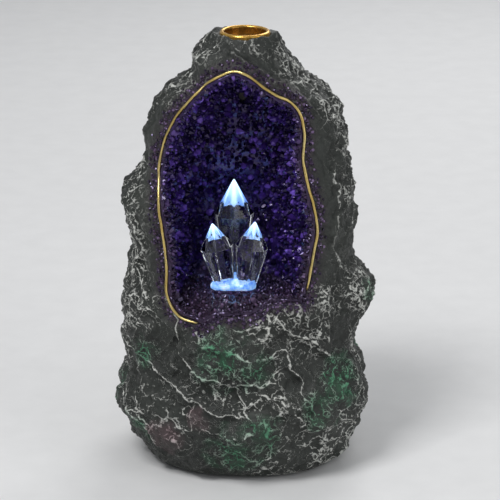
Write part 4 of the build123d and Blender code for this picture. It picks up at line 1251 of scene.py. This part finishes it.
dress(white_plastic, "led_holder", edge=0.2 * MM)
dress(rubber, "rubber_feet", edge=0.3 * MM)
dress(zinc, "led_holder_screws")
dress(nickel, "cell_springs", "cell_plates")
dress(cell_jacket(), "cell_left", "cell_middle", "cell_right", edge=0.3 * MM)
dress(circuit_board(), "led_board")
dress(lamp_epoxy(), "led_lamp")
dress(red_sleeve, "wire_battery_to_switch", "wire_switch_to_led")
dress(black_sleeve, "wire_led_to_battery")

# Screws with a domed head, a cross recess and a ridged shank; most sizes are shares of the two radii
SCREW_SIDES = 40
THREAD_PITCH = 0.9 * MM
THREAD_ROOT = 0.8
DOME = 0.16
RECESS_SIZE = (1.2, 0.3, 0.9)
RECESS_TAPER = 0.45


def turned(profile, sides):
    """Mesh of a profile of radius and height turned round Z, closed at both ends."""
    bm = bmesh.new()
    turns = [2 * math.pi * k / sides for k in range(sides)]
    rings = []
    for radius, level in profile:
        rings.append([bm.verts.new((radius * math.cos(a), radius * math.sin(a), level)) for a in turns])
    skin_rings(bm, rings)
    return bm


def screw_profile(head_radius, head_height, shank_radius, length):
    """Radius and height of a screw from its head's outer face, at 0, to its tip."""
    dome = DOME * head_radius
    root = THREAD_ROOT * shank_radius
    profile = [(0.3 * head_radius, 0.0), (0.75 * head_radius, 0.3 * dome), (head_radius, dome)]
    profile += [(head_radius, head_height), (root, head_height + 0.02 * MM)]
    level = head_height + THREAD_PITCH / 2
    while level < length - THREAD_PITCH:
        profile += [(shank_radius, level), (root, level + THREAD_PITCH / 2)]
        level += THREAD_PITCH
    return profile + [(0.75 * shank_radius, length - 0.3 * MM), (0.4 * shank_radius, length)]


def cross_cutter(head_radius):
    """Cross of two bars that narrow into the head."""
    cross = bmesh.new()
    for quarter in (0, math.pi / 2):
        bar = bmesh.ops.create_cube(cross, size=1.0)["verts"]
        size = Matrix.Diagonal((*(share * head_radius for share in RECESS_SIZE), 1))
        bmesh.ops.transform(cross, matrix=Matrix.Rotation(quarter, 4, "Z") @ size, verts=bar)
        for vertex in bar:
            if vertex.co.z > 0:
                vertex.co.x *= RECESS_TAPER
                vertex.co.y *= RECESS_TAPER
    return bm_object("cross", cross, smooth=False)


def screw_mesh(head_radius, *sizes):
    """Mesh of a screw that points along +Z."""
    body = bm_object("screw", turned(screw_profile(head_radius, *sizes), SCREW_SIDES), smooth=False)
    cutter = cross_cutter(head_radius)
    add_boolean(body, cutter, "DIFFERENCE").use_self = True
    apply_modifiers(body)
    mesh = body.data
    for helper in (body, cutter):
        bpy.data.objects.remove(helper)
    return mesh


def screws(name, node, body, head_radius, head_height, shank_radius, spots, turn):
    """One piece of like screws in place of a node of plain ones."""
    low, high = (Vector(corner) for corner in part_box(node))
    length = abs((high - low).dot(turn @ Vector((0, 0, 1))))
    mesh = screw_mesh(head_radius, head_height, shank_radius, length)
    bm = bmesh.new()
    for place in spots(low, high):
        twist = Matrix.Rotation(grow.uniform(0, 1.5), 4, "Z")
        copy = mesh.copy()
        copy.transform(Matrix.Translation(place) @ turn.to_4x4() @ twist)
        bm.from_mesh(copy)
    piece = bm_object(name, bm, smooth=False)
    piece.data.materials.append(zinc)
    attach(piece, body)
    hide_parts(node)


def four_corners(inset):
    """Places at the four corners of a node's box, on its underside."""

    def spots(low, high):
        """The corners, left ones first."""
        sides = (low.x + inset, high.x - inset)
        return [Vector((x, y, low.z)) for x in sides for y in (low.y + inset, high.y - inset)]

    return spots


def two_ends(inset):
    """Places at the two ends of a node's box, on its back."""

    def spots(low, high):
        """The ends, left one first."""
        return [Vector((x, high.y, (low.z + high.z) / 2)) for x in (low.x + inset, high.x - inset)]

    return spots


def middle(low, high):
    """The middle of a node's box, on its underside."""
    return [Vector(((low.x + high.x) / 2, (low.y + high.y) / 2, low.z))]


UPWARD = Matrix.Identity(3)
FORWARD = Matrix.Rotation(math.pi / 2, 3, "X")
screws("cover_screws", "base_screws", "rock", 2.7 * MM, 1.8 * MM, 1.4 * MM, four_corners(2.7 * MM), UPWARD)
screws("door_screw", "battery_door_screw", "door", 2.5 * MM, 1.0 * MM, 1.2 * MM, middle, UPWARD)
screws("switch_screws", "bezel_screws", "rock", 1.9 * MM, 0.9 * MM, 1.0 * MM, two_ends(1.9 * MM), FORWARD)

# Floor, even light from all round, and three soft lights aimed half way up the rock
FLOOR_SIZE = 4.0
floor_bm = bmesh.new()
bmesh.ops.create_grid(floor_bm, x_segments=1, y_segments=1, size=FLOOR_SIZE)
floor = bm_object("floor", floor_bm, smooth=False)
floor_coat = Coat("floor_paint")
floor_grain = floor_coat.noise(floor_coat.here(), 60.0, 3.0)
floor_coat.set("Base Color", floor_coat.ramp(floor_grain, (0.3, 0.76), (0.7, 0.79)))
floor_coat.set("Roughness", 0.7)
floor.data.materials.append(floor_coat.material)

world = bpy.data.worlds.new("world")
scene.world = world
world.use_nodes = True
world.node_tree.nodes["Background"].inputs["Color"].default_value = (0.8, 0.82, 0.85, 1)
world.node_tree.nodes["Background"].inputs["Strength"].default_value = 0.4
scene.view_settings.view_transform = "Standard"


def area_light(name, place, size, power):
    """Square soft light aimed at the camera's aim."""
    data = bpy.data.lights.new(name, "AREA")
    data.size = size
    data.energy = power
    light = bpy.data.objects.new(name, data)
    scene.collection.objects.link(light)
    light.location = place
    light.rotation_euler = (AIM - Vector(place)).to_track_quat("-Z", "Y").to_euler()


area_light("key", (-0.47, -0.55, 1.18), 0.45, 9.5)
area_light("fill", (0.9, -0.6, 0.5), 0.8, 2.5)
area_light("rim", (0.3, 0.9, 0.8), 0.6, 4.0)
